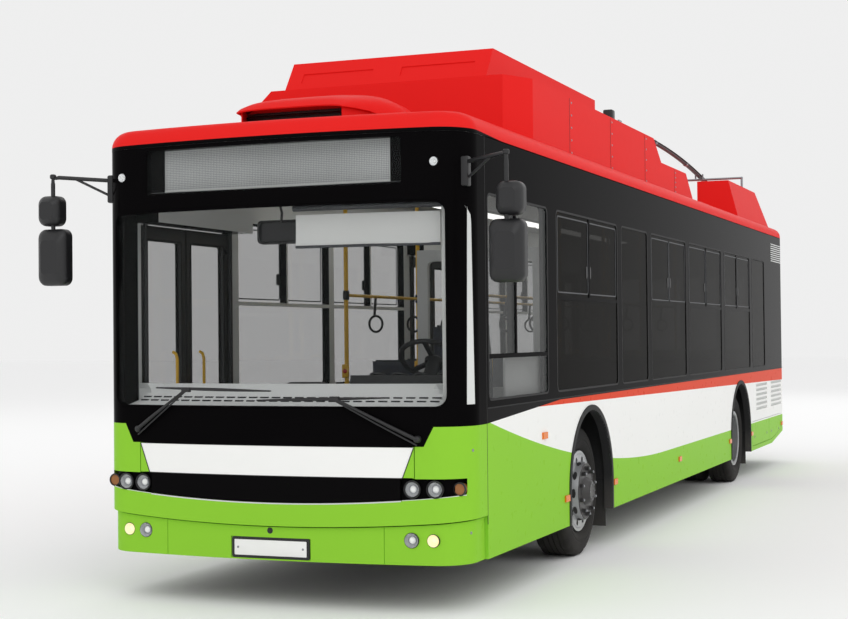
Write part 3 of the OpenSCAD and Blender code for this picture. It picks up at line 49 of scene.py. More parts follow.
# Where the front plane, the axles and the wheels' middles lie
Y_FRONT = -6.23
Y_AXLES = (Y_FRONT + 2.8, Y_FRONT + 8.95)
WHEEL_Z = 0.4785
HALF_W = 1.25
BOW_R = 7.0
CORNER_R = 0.25
CORNER_X = HALF_W - CORNER_R
CORNER_Y = Y_FRONT + BOW_R - math.sqrt((BOW_R - CORNER_R) ** 2 - CORNER_X**2)
Y_REAR = Y_FRONT + 12.0
# Heights of the floor, of the roof's underside and of the black band on the front lid; the white field's foot
FLOOR_Z = 0.36
ROOF_Z = 2.85
BAND_TOP = 0.803
FIELD_HALF_W = 0.86


def linear(r, g, b):
    """A screen colour of 0 to 255 in linear light."""
    return tuple(v / 3294.6 if v <= 10.3 else ((v / 255 + 0.055) / 1.055) ** 2.4 for v in (r, g, b))


def yd(d):
    """Place a distance behind the front plane."""
    return Y_FRONT + d


def front_y(x, inset=0.0):
    """Place of the bowed front's face at a sideways place, moved in by an inset."""
    x = abs(x)
    if x < CORNER_X:
        return Y_FRONT + BOW_R - math.sqrt((BOW_R - inset) ** 2 - x * x)
    r = CORNER_R - inset
    return CORNER_Y - math.sqrt(max(r * r - (x - CORNER_X) ** 2, 0.0))


def colour_value(label, words, rgb):
    """A colour that the sidebar shows."""
    return bpy.props.FloatVectorProperty(
        name=label, description=words, subtype="COLOR", size=3, min=0, max=1, default=linear(*rgb)
    )


def length_value(label, words, size):
    """A length in metres that the sidebar shows."""
    return bpy.props.FloatProperty(
        name=label, description=words, subtype="DISTANCE", unit="LENGTH", default=size
    )


def angle_value(label, words, degrees):
    """An angle that the sidebar shows."""
    return bpy.props.FloatProperty(
        name=label, description=words, subtype="ANGLE", default=math.radians(degrees)
    )


class BusColours(bpy.types.PropertyGroup):
    """Colours of the livery and of the main finishes."""

    green: colour_value("Green", "Lower body paint", (142, 203, 58))
    white: colour_value("White", "Middle band of the sides", (244, 244, 242))
    red: colour_value("Red", "Roof paint", (228, 40, 38))
    stripe: colour_value("Stripe", "Stripe under the windows", (224, 72, 42))
    black: colour_value("Black", "Front mask and window band", (11, 10, 11))
    tint: colour_value("Tint", "Tinted window glass", (18, 17, 15))
    silver: colour_value("Silver", "Wheel rims", (186, 188, 190))
    rail: colour_value("Rail yellow", "Grab rails", (238, 186, 24))
    cloth: colour_value("Seat cloth", "Seat covers", (38, 40, 48))
    trim: colour_value("Trim", "Pale inside trim", (214, 216, 214))


class BusSizes(bpy.types.PropertyGroup):
    """Sizes of the fine pieces."""

    groove: length_value("Tread groove", "Depth of the tyre tread", 0.012)
    blade: length_value("Wiper blade", "Height of a wiper's rubber", 0.026)
    seal: length_value("Window seal", "Width of the rubber round the glass", 0.014)
    plate_w: length_value("Plate width", "Width of the blank plate", 0.50)
    plate_h: length_value("Plate height", "Height of the blank plate", 0.105)


class BusView(bpy.types.PropertyGroup):
    """Camera of the main picture."""

    place: bpy.props.FloatVectorProperty(
        name="Place",
        description="Where the camera stands",
        subtype="XYZ",
        unit="LENGTH",
        default=(4.3946, -14.7347, 1.6359),
    )
    yaw: angle_value("Yaw", "Turn to the left of straight ahead", 21.59)
    pitch: angle_value("Pitch", "Tilt above the horizon", 1.003)
    roll: angle_value("Roll", "Lean of the picture", math.degrees(-0.0102))
    lens: bpy.props.FloatProperty(name="Lens", description="Focal length", unit="CAMERA", default=66.565)


def make_node(tree, kind, inputs=None, **settings):
    """A shader node with its settings, and its inputs as values or as sockets to link."""
    n = tree.nodes.new(kind)
    for key, value in settings.items():
        setattr(n, key, value)
    for key, value in (inputs or {}).items():
        if isinstance(value, bpy.types.NodeSocket):
            tree.links.new(value, n.inputs[key])
        else:
            n.inputs[key].default_value = value
    return n


def math_of(tree, operation, *values, clamp=False):
    """The result of a math node over values or sockets."""
    n = make_node(tree, "ShaderNodeMath", dict(enumerate(values)), operation=operation, use_clamp=clamp)
    return n.outputs[0]


def mix_of(tree, factor, a, b):
    """A colour between two colours."""
    n = make_node(tree, "ShaderNodeMix", {0: factor, 6: a, 7: b}, data_type="RGBA")
    return n.outputs[2]


def noise_of(tree, at, scale, detail):
    """The value of a noise texture at a place."""
    return make_node(tree, "ShaderNodeTexNoise", {"Vector": at, "Scale": scale, "Detail": detail}).outputs[0]


def place_of(tree):
    """A surface point's place on the bus as one socket, and its X, Y and Z as three."""
    at = make_node(tree, "ShaderNodeTexCoord").outputs["Object"]
    return at, make_node(tree, "ShaderNodeSeparateXYZ", {0: at}).outputs


def start_group(name, inputs, outputs):
    """A new node group with named sockets: its tree, its input node and its output node."""
    tree = bpy.data.node_groups.new(name, "ShaderNodeTree")
    for label, kind, value in inputs:
        socket = tree.interface.new_socket(label, in_out="INPUT", socket_type=kind)
        socket.default_value = value
    for label, kind in outputs:
        tree.interface.new_socket(label, in_out="OUTPUT", socket_type=kind)
    return tree, tree.nodes.new("NodeGroupInput"), tree.nodes.new("NodeGroupOutput")


COLOUR, NUMBER = "NodeSocketColor", "NodeSocketFloat"


def build_grain():
    """Group: slow change of shade, fine change of roughness and a fine height."""
    t, i, o = start_group(
        "Surface grain",
        [
            ("Colour", COLOUR, (0.8, 0.8, 0.8, 1)),
            ("Shade", NUMBER, 0.1),
            ("Scale", NUMBER, 4.0),
            ("Rough", NUMBER, 0.4),
            ("Rough change", NUMBER, 0.1),
        ],
        [("Colour", COLOUR), ("Roughness", NUMBER), ("Height", NUMBER)],
    )
    at = make_node(t, "ShaderNodeTexCoord").outputs["Object"]
    slow = noise_of(t, at, i.outputs["Scale"], 4.0)
    fast = noise_of(t, at, math_of(t, "MULTIPLY", i.outputs["Scale"], 16.0), 3.0)
    swing = math_of(t, "MULTIPLY", math_of(t, "SUBTRACT", slow, 0.5), i.outputs["Shade"])
    value = math_of(t, "ADD", swing, 1.0)
    tone = make_node(t, "ShaderNodeHueSaturation", {"Value": value, "Color": i.outputs["Colour"]})
    rough = math_of(t, "MULTIPLY", math_of(t, "SUBTRACT", fast, 0.5), i.outputs["Rough change"])
    t.links.new(tone.outputs[0], o.inputs["Colour"])
    t.links.new(math_of(t, "ADD", rough, i.outputs["Rough"], clamp=True), o.inputs["Roughness"])
    t.links.new(fast, o.inputs["Height"])
    return t


def build_dust():
    """Group: road dust that fades upwards from the ground, broken up by noise."""
    t, i, o = start_group(
        "Road dust",
        [
            ("Colour", COLOUR, (0.8, 0.8, 0.8, 1)),
            ("Dust", COLOUR, (0.22, 0.20, 0.17, 1)),
            ("Top", NUMBER, 0.6),
            ("Amount", NUMBER, 0.3),
        ],
        [("Colour", COLOUR), ("Mask", NUMBER)],
    )
    at, (_, _, z) = place_of(t)
    fade = math_of(t, "SUBTRACT", 1.0, math_of(t, "DIVIDE", z, i.outputs["Top"]), clamp=True)
    spots = noise_of(t, at, 5.0, 6.0)
    amount = math_of(t, "MULTIPLY", i.outputs["Amount"], 2.0)
    mask = math_of(t, "MULTIPLY", math_of(t, "MULTIPLY", fade, spots), amount, clamp=True)
    t.links.new(mix_of(t, mask, i.outputs["Colour"], i.outputs["Dust"]), o.inputs["Colour"])
    t.links.new(mask, o.inputs["Mask"])
    return t


def build_livery():
    """Group: green wave, white band, stripe and black window band by place on the body."""
    t, i, o = start_group(
        "Livery",
        [(n, COLOUR, (0.5, 0.5, 0.5, 1)) for n in ("Green", "White", "Stripe", "Black")],
        [("Colour", COLOUR)],
    )
    _, (_, y, z) = place_of(t)
    d = math_of(t, "SUBTRACT", y, Y_FRONT)
    ahead = math_of(t, "MAXIMUM", math_of(t, "SUBTRACT", 5.2, d), 0.0)
    wave = math_of(t, "ADD", math_of(t, "MULTIPLY", math_of(t, "POWER", ahead, 2.0), 0.0231), 0.604)
    green = math_of(t, "LESS_THAN", z, wave)
    body = mix_of(t, green, i.outputs["White"], i.outputs["Green"])
    low = math_of(t, "SUBTRACT", 1.18, math_of(t, "MULTIPLY", d, 0.0113))
    stripe = math_of(t, "GREATER_THAN", z, low)
    body = mix_of(t, stripe, body, i.outputs["Stripe"])
    rise = math_of(t, "MINIMUM", math_of(t, "MULTIPLY", math_of(t, "SUBTRACT", d, 0.46), 0.054), 0.083)
    black = math_of(t, "GREATER_THAN", z, math_of(t, "ADD", rise, 1.107))
    body = mix_of(t, black, body, i.outputs["Black"])
    t.links.new(body, o.inputs["Colour"])
    return t


def finish(name, rgb, rough, shade=0.08, scale=3.0, change=0.08, bump=0.0, dust=None, make=None, **sockets):
    """A material with grain: its colour, roughness, the grain's shade, scale and roughness change, and bump.

    dust is the height that road dust reaches and its amount. make builds a colour that varies over the bus.
    Other values are constants on the shader's own sockets.
    """
    m = bpy.data.materials.new(name)
    m.use_nodes = True
    t = m.node_tree
    shader = t.nodes["Principled BSDF"]
    colour = (*rgb, 1.0) if make is None else make(t)
    values = {"Colour": colour, "Shade": shade, "Scale": scale, "Rough": rough, "Rough change": change}
    grain = make_node(t, "ShaderNodeGroup", values, node_tree=bpy.data.node_groups["Surface grain"])
    out = grain.outputs["Colour"]
    if dust:
        values = {"Colour": out, "Top": dust[0], "Amount": dust[1]}
        road = make_node(t, "ShaderNodeGroup", values, node_tree=bpy.data.node_groups["Road dust"])
        out = road.outputs["Colour"]
    t.links.new(out, shader.inputs["Base Color"])
    t.links.new(grain.outputs["Roughness"], shader.inputs["Roughness"])
    if bump:
        values = {"Height": grain.outputs["Height"], "Strength": bump, "Distance": 0.002}
        relief = make_node(t, "ShaderNodeBump", values)
        t.links.new(relief.outputs[0], shader.inputs["Normal"])
    for key, value in sockets.items():
        shader.inputs[key.replace("_", " ")].default_value = value
    return m


FINISHES = {}


def lattice(t, pitch, gap, a, b, axes=(0, 2)):
    """Colour of a board of dots: b in the dots, a between them."""
    _, parts = place_of(t)
    mask = None
    for axis in axes:
        cell = math_of(t, "FRACT", math_of(t, "DIVIDE", parts[axis], pitch))
        edge = math_of(t, "GREATER_THAN", cell, gap)
        mask = edge if mask is None else math_of(t, "MULTIPLY", mask, edge)
    return mix_of(t, mask, (*a, 1), (*b, 1))


def build_finishes():
    """All materials of the bus."""
    c = bpy.context.scene.bus_colours
    build_grain()
    build_dust()
    livery = build_livery()

    def body_paint(t):
        n = make_node(t, "ShaderNodeGroup", node_tree=livery)
        for key, rgb in (("Green", c.green), ("White", c.white), ("Stripe", c.stripe), ("Black", c.black)):
            n.inputs[key].default_value = (*rgb, 1)
        return n.outputs[0]

    def lid_paint(t):
        _, (x, _, z) = place_of(t)
        side = math_of(t, "ABSOLUTE", x)
        slant = math_of(t, "MULTIPLY", math_of(t, "SUBTRACT", z, 0.80), 0.368)
        field = math_of(t, "LESS_THAN", side, math_of(t, "ADD", slant, FIELD_HALF_W))
        colour = mix_of(t, field, (*c.green, 1), (*c.white, 1))
        return mix_of(t, math_of(t, "LESS_THAN", z, BAND_TOP), colour, (*c.black, 1))

    def roof_paint(t):
        _, (_, y, z) = place_of(t)
        ahead = math_of(t, "MULTIPLY", math_of(t, "SUBTRACT", yd(0.9), y), 0.04)
        rise = math_of(t, "MINIMUM", math_of(t, "MAXIMUM", ahead, 0.0), 0.023)
        edge = math_of(t, "ADD", rise, ROOF_Z + 0.0005)
        return mix_of(t, math_of(t, "LESS_THAN", z, edge), (*c.red, 1), (*c.black, 1))

    def weave(t):
        at = make_node(t, "ShaderNodeTexCoord").outputs["Object"]
        wave = make_node(t, "ShaderNodeTexWave", {"Vector": at, "Scale": 60.0, "Distortion": 2.0}).outputs[1]
        cells = make_node(t, "ShaderNodeTexVoronoi", {"Vector": at, "Scale": 55.0}).outputs[0]
        spots = math_of(t, "LESS_THAN", cells, 0.22)
        base = mix_of(t, math_of(t, "MULTIPLY", wave, 0.5), (*c.cloth, 1), (0.05, 0.055, 0.075, 1))
        return mix_of(t, spots, base, (0.10, 0.13, 0.22, 1))

    def board(t):
        return lattice(t, 0.011, 0.3, linear(150, 153, 153), linear(206, 209, 208))

    def mesh(t):
        return lattice(t, 0.012, 0.35, linear(60, 60, 60), linear(8, 8, 8))

    def shine(level, **more):
        return dict(Specular_IOR_Level=level, **more)

    gloss = dict(Coat_Weight=0.02, Coat_Roughness=0.06, Specular_IOR_Level=0.008)
    F = FINISHES
    body = dict(dust=(0.5, 0.035), make=body_paint)
    F["livery"] = finish("body_paint", c.white, 0.28, 0.03, 0.9, 0.04, **body, **gloss)
    F["green"] = finish("green_paint", c.green, 0.28, 0.03, 0.9, 0.04, dust=(0.42, 0.03), **gloss)
    F["lid"] = finish("lid_paint", c.white, 0.26, 0.03, 0.9, 0.04, make=lid_paint, **gloss)
    F["red"] = finish("red_paint", c.red, 0.36, 0.06, 0.8, 0.06, **gloss)
    F["roof"] = finish("roof_paint", c.red, 0.36, 0.06, 0.8, 0.06, make=roof_paint, **gloss)
    F["black"] = finish("black_gloss", c.black, 0.10, 0.3, 2.0, 0.05, **shine(0.005))
    F["satin"] = finish("black_satin", linear(24, 24, 26), 0.45, 0.25, 6.0, 0.12, 0.12)
    F["tint"] = finish("tinted_glass", c.tint, 0.06, 0.35, 1.2, 0.03, **shine(0.005, Alpha=0.88))
    F["pale"] = finish("door_glass", linear(34, 38, 37), 0.05, 0.25, 1.2, 0.03, **shine(0.3, Alpha=0.34))
    F["cab"] = finish("cab_glass", linear(30, 36, 34), 0.05, 0.2, 1.5, 0.03, Alpha=0.30)
    F["clear"] = finish("clear_glass", linear(24, 30, 29), 0.03, 0.1, 1.0, 0.02, **shine(0.5, Alpha=0.10))
    F["lens"] = finish("lamp_lens", linear(200, 208, 210), 0.05, 0.05, 8.0, 0.04, **shine(0.4, Alpha=0.10))
    F["chrome"] = finish("reflector_chrome", linear(240, 241, 242), 0.14, 0.10, 10.0, 0.06, Metallic=0.5)
    F["amber"] = finish("amber_lens", linear(232, 120, 24), 0.18, 0.15, 20.0, 0.08, 0.2, **shine(0.2))
    F["dull"] = finish("indicator_lens", linear(158, 104, 58), 0.16, 0.25, 30.0, 0.08, 0.2, **shine(0.3))
    lit = dict(Emission_Strength=0.25, Emission_Color=(1, 0.88, 0.62, 1))
    F["warm"] = finish("fog_lens", linear(252, 242, 208), 0.25, 0.04, 20.0, 0.08, 0.1, **lit)
    F["ruby"] = finish("red_lens", linear(190, 22, 20), 0.16, 0.15, 20.0, 0.08, 0.2, Coat_Weight=0.5)
    F["milk"] = finish("white_lens", linear(232, 233, 230), 0.2, 0.1, 20.0, 0.08, 0.2, Emission_Strength=0.15)
    lit = dict(Emission_Strength=2.2, Emission_Color=(1, 1, 0.97, 1))
    F["glow"] = finish("light_strip", linear(236, 236, 230), 0.3, 0.05, 10.0, 0.08, **lit)
    F["rubber"] = finish("black_rubber", linear(26, 26, 27), 0.75, 0.3, 8.0, 0.15, 0.3, dust=(0.5, 0.25))
    matt = shine(0.25, dust=(0.95, 0.08))
    F["tyre"] = finish("tyre_rubber", linear(24, 23, 23), 0.82, 0.35, 6.0, 0.15, 0.45, **matt)
    F["silver"] = finish("rim_silver", c.silver, 0.36, 0.12, 5.0, 0.14, 0.06, (0.95, 0.28), Metallic=0.75)
    F["hub"] = finish("hub_grey", linear(66, 65, 66), 0.42, 0.2, 6.0, 0.15, 0.1, (0.95, 0.1), Metallic=0.4)
    F["steel"] = finish("bare_steel", linear(150, 152, 156), 0.38, 0.25, 6.0, 0.2, 0.15, Metallic=0.9)
    F["chassis"] = finish("chassis_black", linear(27, 27, 28), 0.6, 0.35, 4.0, 0.2, 0.3, dust=(0.55, 0.5))
    F["pole"] = finish("pole_black", linear(38, 40, 43), 0.42, 0.2, 5.0, 0.15, 0.1)
    F["rail"] = finish("rail_yellow", c.rail, 0.35, 0.10, 6.0, 0.1, Coat_Weight=0.3)
    F["cloth"] = finish("seat_cloth", c.cloth, 0.9, 0.25, 10.0, 0.1, 0.6, make=weave, Sheen_Weight=0.3)
    F["shell"] = finish("seat_shell", linear(58, 60, 64), 0.5, 0.2, 8.0, 0.1, 0.25)
    F["trim"] = finish("pale_trim", c.trim, 0.5, 0.08, 3.0, 0.1, 0.15)
    F["dash"] = finish("dash_plastic", linear(34, 35, 37), 0.6, 0.25, 8.0, 0.15, 0.4)
    F["shelf"] = finish("dash_shelf", linear(236, 239, 238), 0.55, 0.10, 4.0, 0.1, 0.2)
    F["vinyl"] = finish("floor_vinyl", linear(96, 99, 104), 0.6, 0.3, 30.0, 0.15, 0.3)
    F["ceiling"] = finish("ceiling_panel", linear(222, 222, 218), 0.6, 0.06, 2.0, 0.1)
    F["mirror"] = finish("mirror_glass", linear(180, 186, 190), 0.04, 0.05, 3.0, 0.02, Metallic=1.0)
    F["plate"] = finish("blank_plate", linear(240, 240, 238), 0.4, 0.05, 10.0, 0.08, Coat_Weight=0.3)
    F["board"] = finish("sign_board", c.trim, 0.6, 0.2, 3.0, 0.1, make=board)
    F["mesh"] = finish("grille_mesh", c.black, 0.5, 0.2, 3.0, 0.1, make=mesh)


class Piece:
    """Gathers the solids of one piece, each with its own finish."""

    def __init__(self):
        self.bm = bmesh.new()
        self.mats = []

    def take(self, bm, mat, smooth=True, at=None):
        """Adds a finished bmesh in a finish, moved by a matrix."""
        if at is not None:
            bmesh.ops.transform(bm, matrix=at, verts=bm.verts)
        if mat not in self.mats:
            self.mats.append(mat)
        for f in bm.faces:
            f.material_index = self.mats.index(mat)
            f.smooth = smooth
        bmesh.ops.recalc_face_normals(bm, faces=bm.faces)
        held = bpy.data.meshes.new("held")
        bm.to_mesh(held)
        bm.free()
        self.bm.from_mesh(held)
        bpy.data.meshes.remove(held)

    def box(self, lo, hi, mat, r=0.0, steps=2, at=None):
        """A box between two corners with round edges."""
        bm = bmesh.new()
        lo, hi = Vector(lo), Vector(hi)
        bmesh.ops.create_cube(bm, size=1)
        for v in bm.verts:
            v.co = Vector((lo[k] + hi[k]) / 2 + v.co[k] * (hi[k] - lo[k]) for k in range(3))
        if r:
            bmesh.ops.bevel(bm, geom=bm.edges, offset=r, segments=steps, profile=0.5, affect="EDGES")
        self.take(bm, mat, True, at)

    def lathe(self, profile, mat, at, n=32, closed=False, shift=None):
        """A form turned round the local Z axis from (radius, height) points.

        shift changes a point's radius by its step round the axis and its row in the profile.
        """
        bm = bmesh.new()
        rings = []
        for j, (r, z) in enumerate(profile):
            if r < 1e-6:
                rings.append([bm.verts.new((0, 0, z))])
                continue
            ring = []
            for k in range(n):
                far, a = r + (shift(k, j) if shift else 0.0), math.tau * k / n
                ring.append(bm.verts.new((far * math.cos(a), far * math.sin(a), z)))
            rings.append(ring)
        pairs = list(zip(rings, rings[1:])) + ([(rings[-1], rings[0])] if closed else [])
        for a, b in pairs:
            for k in range(n):
                quad = [a[k % len(a)], a[(k + 1) % len(a)], b[(k + 1) % len(b)], b[k % len(b)]]
                quad = list(dict.fromkeys(quad))
                if len(quad) > 2:
                    bm.faces.new(quad)
        self.take(bm, mat, True, at)

    def tube(self, points, r, mat, n=12):
        """A round bar along points, with flat ends; r may be one radius or one for each point."""
        points = [Vector(p) for p in points]
        radii = r if isinstance(r, (list, tuple)) else [r] * len(points)
        bm = bmesh.new()
        side = None
        rings = []
        for k, p in enumerate(points):
            ahead = (points[min(k + 1, len(points) - 1)] - points[max(k - 1, 0)]).normalized()
            if side is None:
                side = ahead.orthogonal().normalized()
            side = (side - ahead * side.dot(ahead)).normalized()
            up = ahead.cross(side)
            ring = []
            for a in [math.tau * j / n for j in range(n)]:
                ring.append(bm.verts.new(p + (side * math.cos(a) + up * math.sin(a)) * radii[k]))
            rings.append(ring)
        for a, b in zip(rings, rings[1:]):
            for j in range(n):
                bm.faces.new((a[j], a[(j + 1) % n], b[(j + 1) % n], b[j]))
        bm.faces.new(rings[0])
        bm.faces.new(rings[-1])
        self.take(bm, mat)

    def slab(self, outline, thick, mat, at, r=0.0, smooth=True):
        """A flat plate: outline points in the local XY plane, thickened along local Z."""
        bm = bmesh.new()
        low = [bm.verts.new((x, y, 0)) for x, y in outline]
        high = [bm.verts.new((x, y, thick)) for x, y in outline]
        bm.faces.new(low)
        bm.faces.new(high)
        n = len(low)
        for k in range(n):
            bm.faces.new((low[k], low[(k + 1) % n], high[(k + 1) % n], high[k]))
        if r:
            rim = [e for e in bm.edges if all(abs(v.co.z - thick) < 1e-9 for v in e.verts)]
            bmesh.ops.bevel(bm, geom=rim, offset=r, segments=2, profile=0.5, affect="EDGES")
        self.take(bm, mat, smooth, at)

    def sheet(self, rows, mat, thick=0.0, closed=False):
        """A skin through rows of points, thickened inwards where asked for."""
        bm = bmesh.new()
        grid = [[bm.verts.new(p) for p in row] for row in rows]
        for a, b in zip(grid, grid[1:]):
            for k in range(len(a) - (0 if closed else 1)):
                j = (k + 1) % len(a)
                bm.faces.new((a[k], a[j], b[j], b[k]))
        if thick:
            bmesh.ops.recalc_face_normals(bm, faces=bm.faces)
            bmesh.ops.solidify(bm, geom=bm.faces, thickness=thick)
        self.take(bm, mat)

    def make(self, name, body, slot=None, stands_for=(), angle=38):
        """The finished object, riding on a body."""
        mesh = bpy.data.meshes.new(name)
        self.bm.to_mesh(mesh)
        self.bm.free()
        for key in self.mats:
            mesh.materials.append(FINISHES[key])
        mesh.set_sharp_from_angle(angle=math.radians(angle))
        obj = bpy.data.objects.new(name, mesh)
        bpy.context.scene.collection.objects.link(obj)
        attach(obj, body)
        if stands_for:
            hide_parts(*stands_for)
        return obj


def move(x, y, z):
    """A matrix that moves."""
    return Matrix.Translation((x, y, z))


def turn(axis, degrees):
    """A matrix that turns about an axis."""
    return Matrix.Rotation(math.radians(degrees), 4, axis)


def round_outline(w, h, r, n=6):
    """Points of a rectangle with round corners about its middle."""
    points = []
    for cx, cy, a in ((1, 1, 0), (-1, 1, 90), (-1, -1, 180), (1, -1, 270)):
        for k in range(n + 1):
            t = math.radians(a + 90 * k / n)
            points.append((cx * (w / 2 - r) + r * math.cos(t), cy * (h / 2 - r) + r * math.sin(t)))
    return points


def paint(node, *keys, choose=None):
    """Gives a CAD node its finishes; choose picks one by a face's middle and normal."""
    mesh = NODES[node].data
    mesh.materials.clear()
    for key in keys:
        mesh.materials.append(FINISHES[key])
    for f in mesh.polygons:
        f.material_index = choose(f.center, f.normal) if choose else 0


def wall_side(c, n):
    """Picks paint outside, pale trim on the cabin's side and dark reveals round the wheels."""
    if abs(n.x) < 0.5 and c.z < 1.1 and min(abs(c.y - y) for y in Y_AXLES) < 0.58:
        return 2
    return 1 if n.x * c.x < 0 and abs(n.x) > 0.9 and abs(c.x) < 1.2 else 0


def hub_side(c, n):
    """Picks dark grey for a wheel's middle and silver for its ring and rim."""
    front = c.y < 0
    far = math.hypot(c.y - Y_AXLES[0 if front else 1], c.z - WHEEL_Z)
    return 1 if far < (0.2 if front else 0.19) and (abs(c.x) > 1.18 or not front) else 0


def box_side(c, n):
    """Picks the dark finish on the wheels' side of a wheel box and the pale one towards the cabin."""
    y = yd(10.8) if c.y > yd(9.6) else min(Y_AXLES, key=lambda a: abs(a - c.y))
    if n.x * c.x > 0 and abs(c.x) > 1.1 and abs(n.x) > 0.9:
        return 1
    return 1 if n.dot(Vector((math.copysign(1, c.x), y, WHEEL_Z)) - c) > 0 else 0


def rear_side(c, n):
    """Picks pale trim on the cabin's side of the rear wall."""
    return 1 if c.y < yd(11.941) and abs(c.x) < 1.19 else 0


def bumper_side(c, n):
    """Picks the dark finish on the bumper's back."""
    return 1 if n.y > 0.5 else 0


def lid_side(c, n):
    """Picks the dark finish on the front lid's inside and ribs."""
    return 1 if n.y > 0.5 or c.y > front_y(c.x) + 0.03 else 0


def roof_side(c, n):
    """Picks the ceiling panel under the roof."""
    return 1 if n.z < -0.9 else 0


def scoop_mouth_shade(c, n):
    """Picks the dark finish inside the air scoop's mouth: painted shade of the recess."""
    return 1 if yd(0.521) < c.y < yd(0.86) and 3.0 < c.z < 3.09 and abs(c.x) < 0.56 else 0


def band_side(c, n):
    """Picks pale trim on the cabin's side of the window band."""
    return 1 if abs(n.x) > 0.9 and abs(c.x) < 1.2 else 0


def glass_kind(c, n):
    """Picks tinted glass for the left side, cab glass beside the driver and door glass elsewhere."""
    if c.x < 1.2:
        return 2
    return 1 if c.y < yd(1.8) else 0


def door_pane(c, n):
    """Picks glass for the panes of a door leaf."""
    return 1 if -1.2345 < c.x < -1.2255 and abs(n.x) > 0.9 else 0


def sign_face(c, n):
    """Picks the blank board on the route sign's face."""
    return 1 if n.y < -0.9 else 0


def floor_side(c, n):
    """Picks the chassis finish under the floor."""
    return 1 if n.z < -0.5 else 0


def dash_side(c, n):
    """Picks the pale shelf under the windscreen."""
    return 1 if 1.17 < c.z < 1.22 and c.y < yd(0.481) else 0


def lamp_kind(c, n):
    """Picks red for tail lamps, the dull lens for the front corners and amber elsewhere."""
    if c.y > yd(11.95):
        return 1 if c.z < 0.85 or c.z > 1.0 else 0
    return 2 if c.y < yd(0.4) and 0.69 < c.z < 0.79 else 0


WHEELS = [f"{end}_{side}" for end in ("front", "rear") for side in ("left", "right")]
DOOR_LEAVES = [f"door_{i}_{end}" for i in (1, 2, 3) for end in ("front", "rear")]
PLAIN_FINISHES = (
    ("livery", ("service_flap_front", "service_flap_rear", "rear_hatch")),
    ("green", ("front_panel",)),
    ("red", ("roof_fairing",)),
    ("black", ("front_mask",)),
    ("clear", ("windscreen",)),
    ("rubber", ("arch_trims", "air_springs")),
    ("satin", ("mirrors", "wipers")),
    ("steel", ("pole_gear", "traction_motor", "knuckle_left", "knuckle_right")),
    ("pole", ("pole_left", "pole_right")),
    ("trim", ("cab_partition",)),
    ("rail", ("grab_rails",)),
    ("shell", ("seats",)),
    ("chassis", ("underframe", "front_axle", "rear_axle")),
    ("lens", ("head_lamps",)),
    ("tyre", [f"tyre_{wheel}" for wheel in WHEELS]),
)
CHOSEN_FINISHES = (
    (wall_side, ("livery", "trim", "chassis"), ("side_left", "side_right")),
    (rear_side, ("livery", "trim"), ("rear_wall",)),
    (bumper_side, ("green", "satin"), ("front_bumper",)),
    (lid_side, ("lid", "satin"), ("front_flap",)),
    (roof_side, ("roof", "ceiling"), ("roof",)),
    # The dark finish in the scoop's mouth is painted shade of its recess
    (scoop_mouth_shade, ("red", "satin"), ("roof_covers",)),
    (band_side, ("black", "trim"), ("window_frames",)),
    (glass_kind, ("tint", "cab", "pale"), ("windows",)),
    (door_pane, ("satin", "pale"), DOOR_LEAVES),
    (sign_face, ("satin", "board"), ("display",)),
    (floor_side, ("vinyl", "chassis"), ("floor",)),
    (box_side, ("trim", "chassis"), ("wheel_boxes",)),
    (dash_side, ("dash", "shelf"), ("dashboard",)),
    (hub_side, ("silver", "hub"), [f"rim_{wheel}" for wheel in WHEELS]),
    (lamp_kind, ("amber", "ruby", "dull"), ("signal_lamps",)),
)


class BUS_OT_stage(bpy.types.Operator):
    """Camera, floor, light and background."""

    bl_idname = "bus.stage"
    bl_label = "Stage"

    def execute(self, context):
        scene, v = context.scene, context.scene.bus_view
        scene.view_settings.view_transform = "Standard"
        cam = bpy.data.cameras.new("camera")
        cam.lens, cam.sensor_width, cam.clip_end = v.lens, 36.0, 300.0
        eye = bpy.data.objects.new("camera", cam)
        scene.collection.objects.link(eye)
        level = Vector((-math.sin(v.yaw), math.cos(v.yaw), 0)) * math.cos(v.pitch)
        ahead = level + Vector((0, 0, math.sin(v.pitch)))
        right = ahead.cross(Vector((0, 0, 1))).normalized()
        up = right.cross(ahead)
        c, s = math.cos(v.roll), math.sin(v.roll)
        right, up = right * c + up * s, up * c - right * s
        eye.matrix_world = Matrix.Translation(v.place) @ Matrix((right, up, -ahead)).transposed().to_4x4()
        scene.camera = eye

        world = bpy.data.worlds.new("pale_room")
        scene.world = world
        world.use_nodes = True
        sky = world.node_tree.nodes["Background"]
        sky.inputs["Color"].default_value = (1, 1, 1, 1)
        sky.inputs["Strength"].default_value = 0.86

        bm = bmesh.new()
        bmesh.ops.create_grid(bm, x_segments=1, y_segments=1, size=90)
        mesh = bpy.data.meshes.new("floor_plane")
        bm.to_mesh(mesh)
        bm.free()
        ground = bpy.data.objects.new("floor_plane", mesh)
        scene.collection.objects.link(ground)
        m = bpy.data.materials.new("pale_floor")
        m.use_nodes = True
        shader = m.node_tree.nodes["Principled BSDF"]
        shader.inputs["Base Color"].default_value = (0.98, 0.98, 0.98, 1)
        shader.inputs["Roughness"].default_value = 0.9
        shader.inputs["Specular IOR Level"].default_value = 0.1
        mesh.materials.append(m)
        for name, place, aim, size, power in (
            ("key", (9, -22, 16), (0, -3, 1), 16, 900),
            ("side", (20, -2, 13), (1, 0, 1), 16, 400),
            ("far", (-20, 2, 13), (-1, 0, 1), 16, 300),
            ("back", (2, 22, 14), (0, 5, 1), 16, 350),
        ):
            lamp = bpy.data.lights.new(name, "AREA")
            lamp.size, lamp.energy = size, power
            o = bpy.data.objects.new(name, lamp)
            scene.collection.objects.link(o)
            o.location = place
            o.rotation_euler = (Vector(aim) - Vector(place)).to_track_quat("-Z", "Y").to_euler()
        return {"FINISHED"}


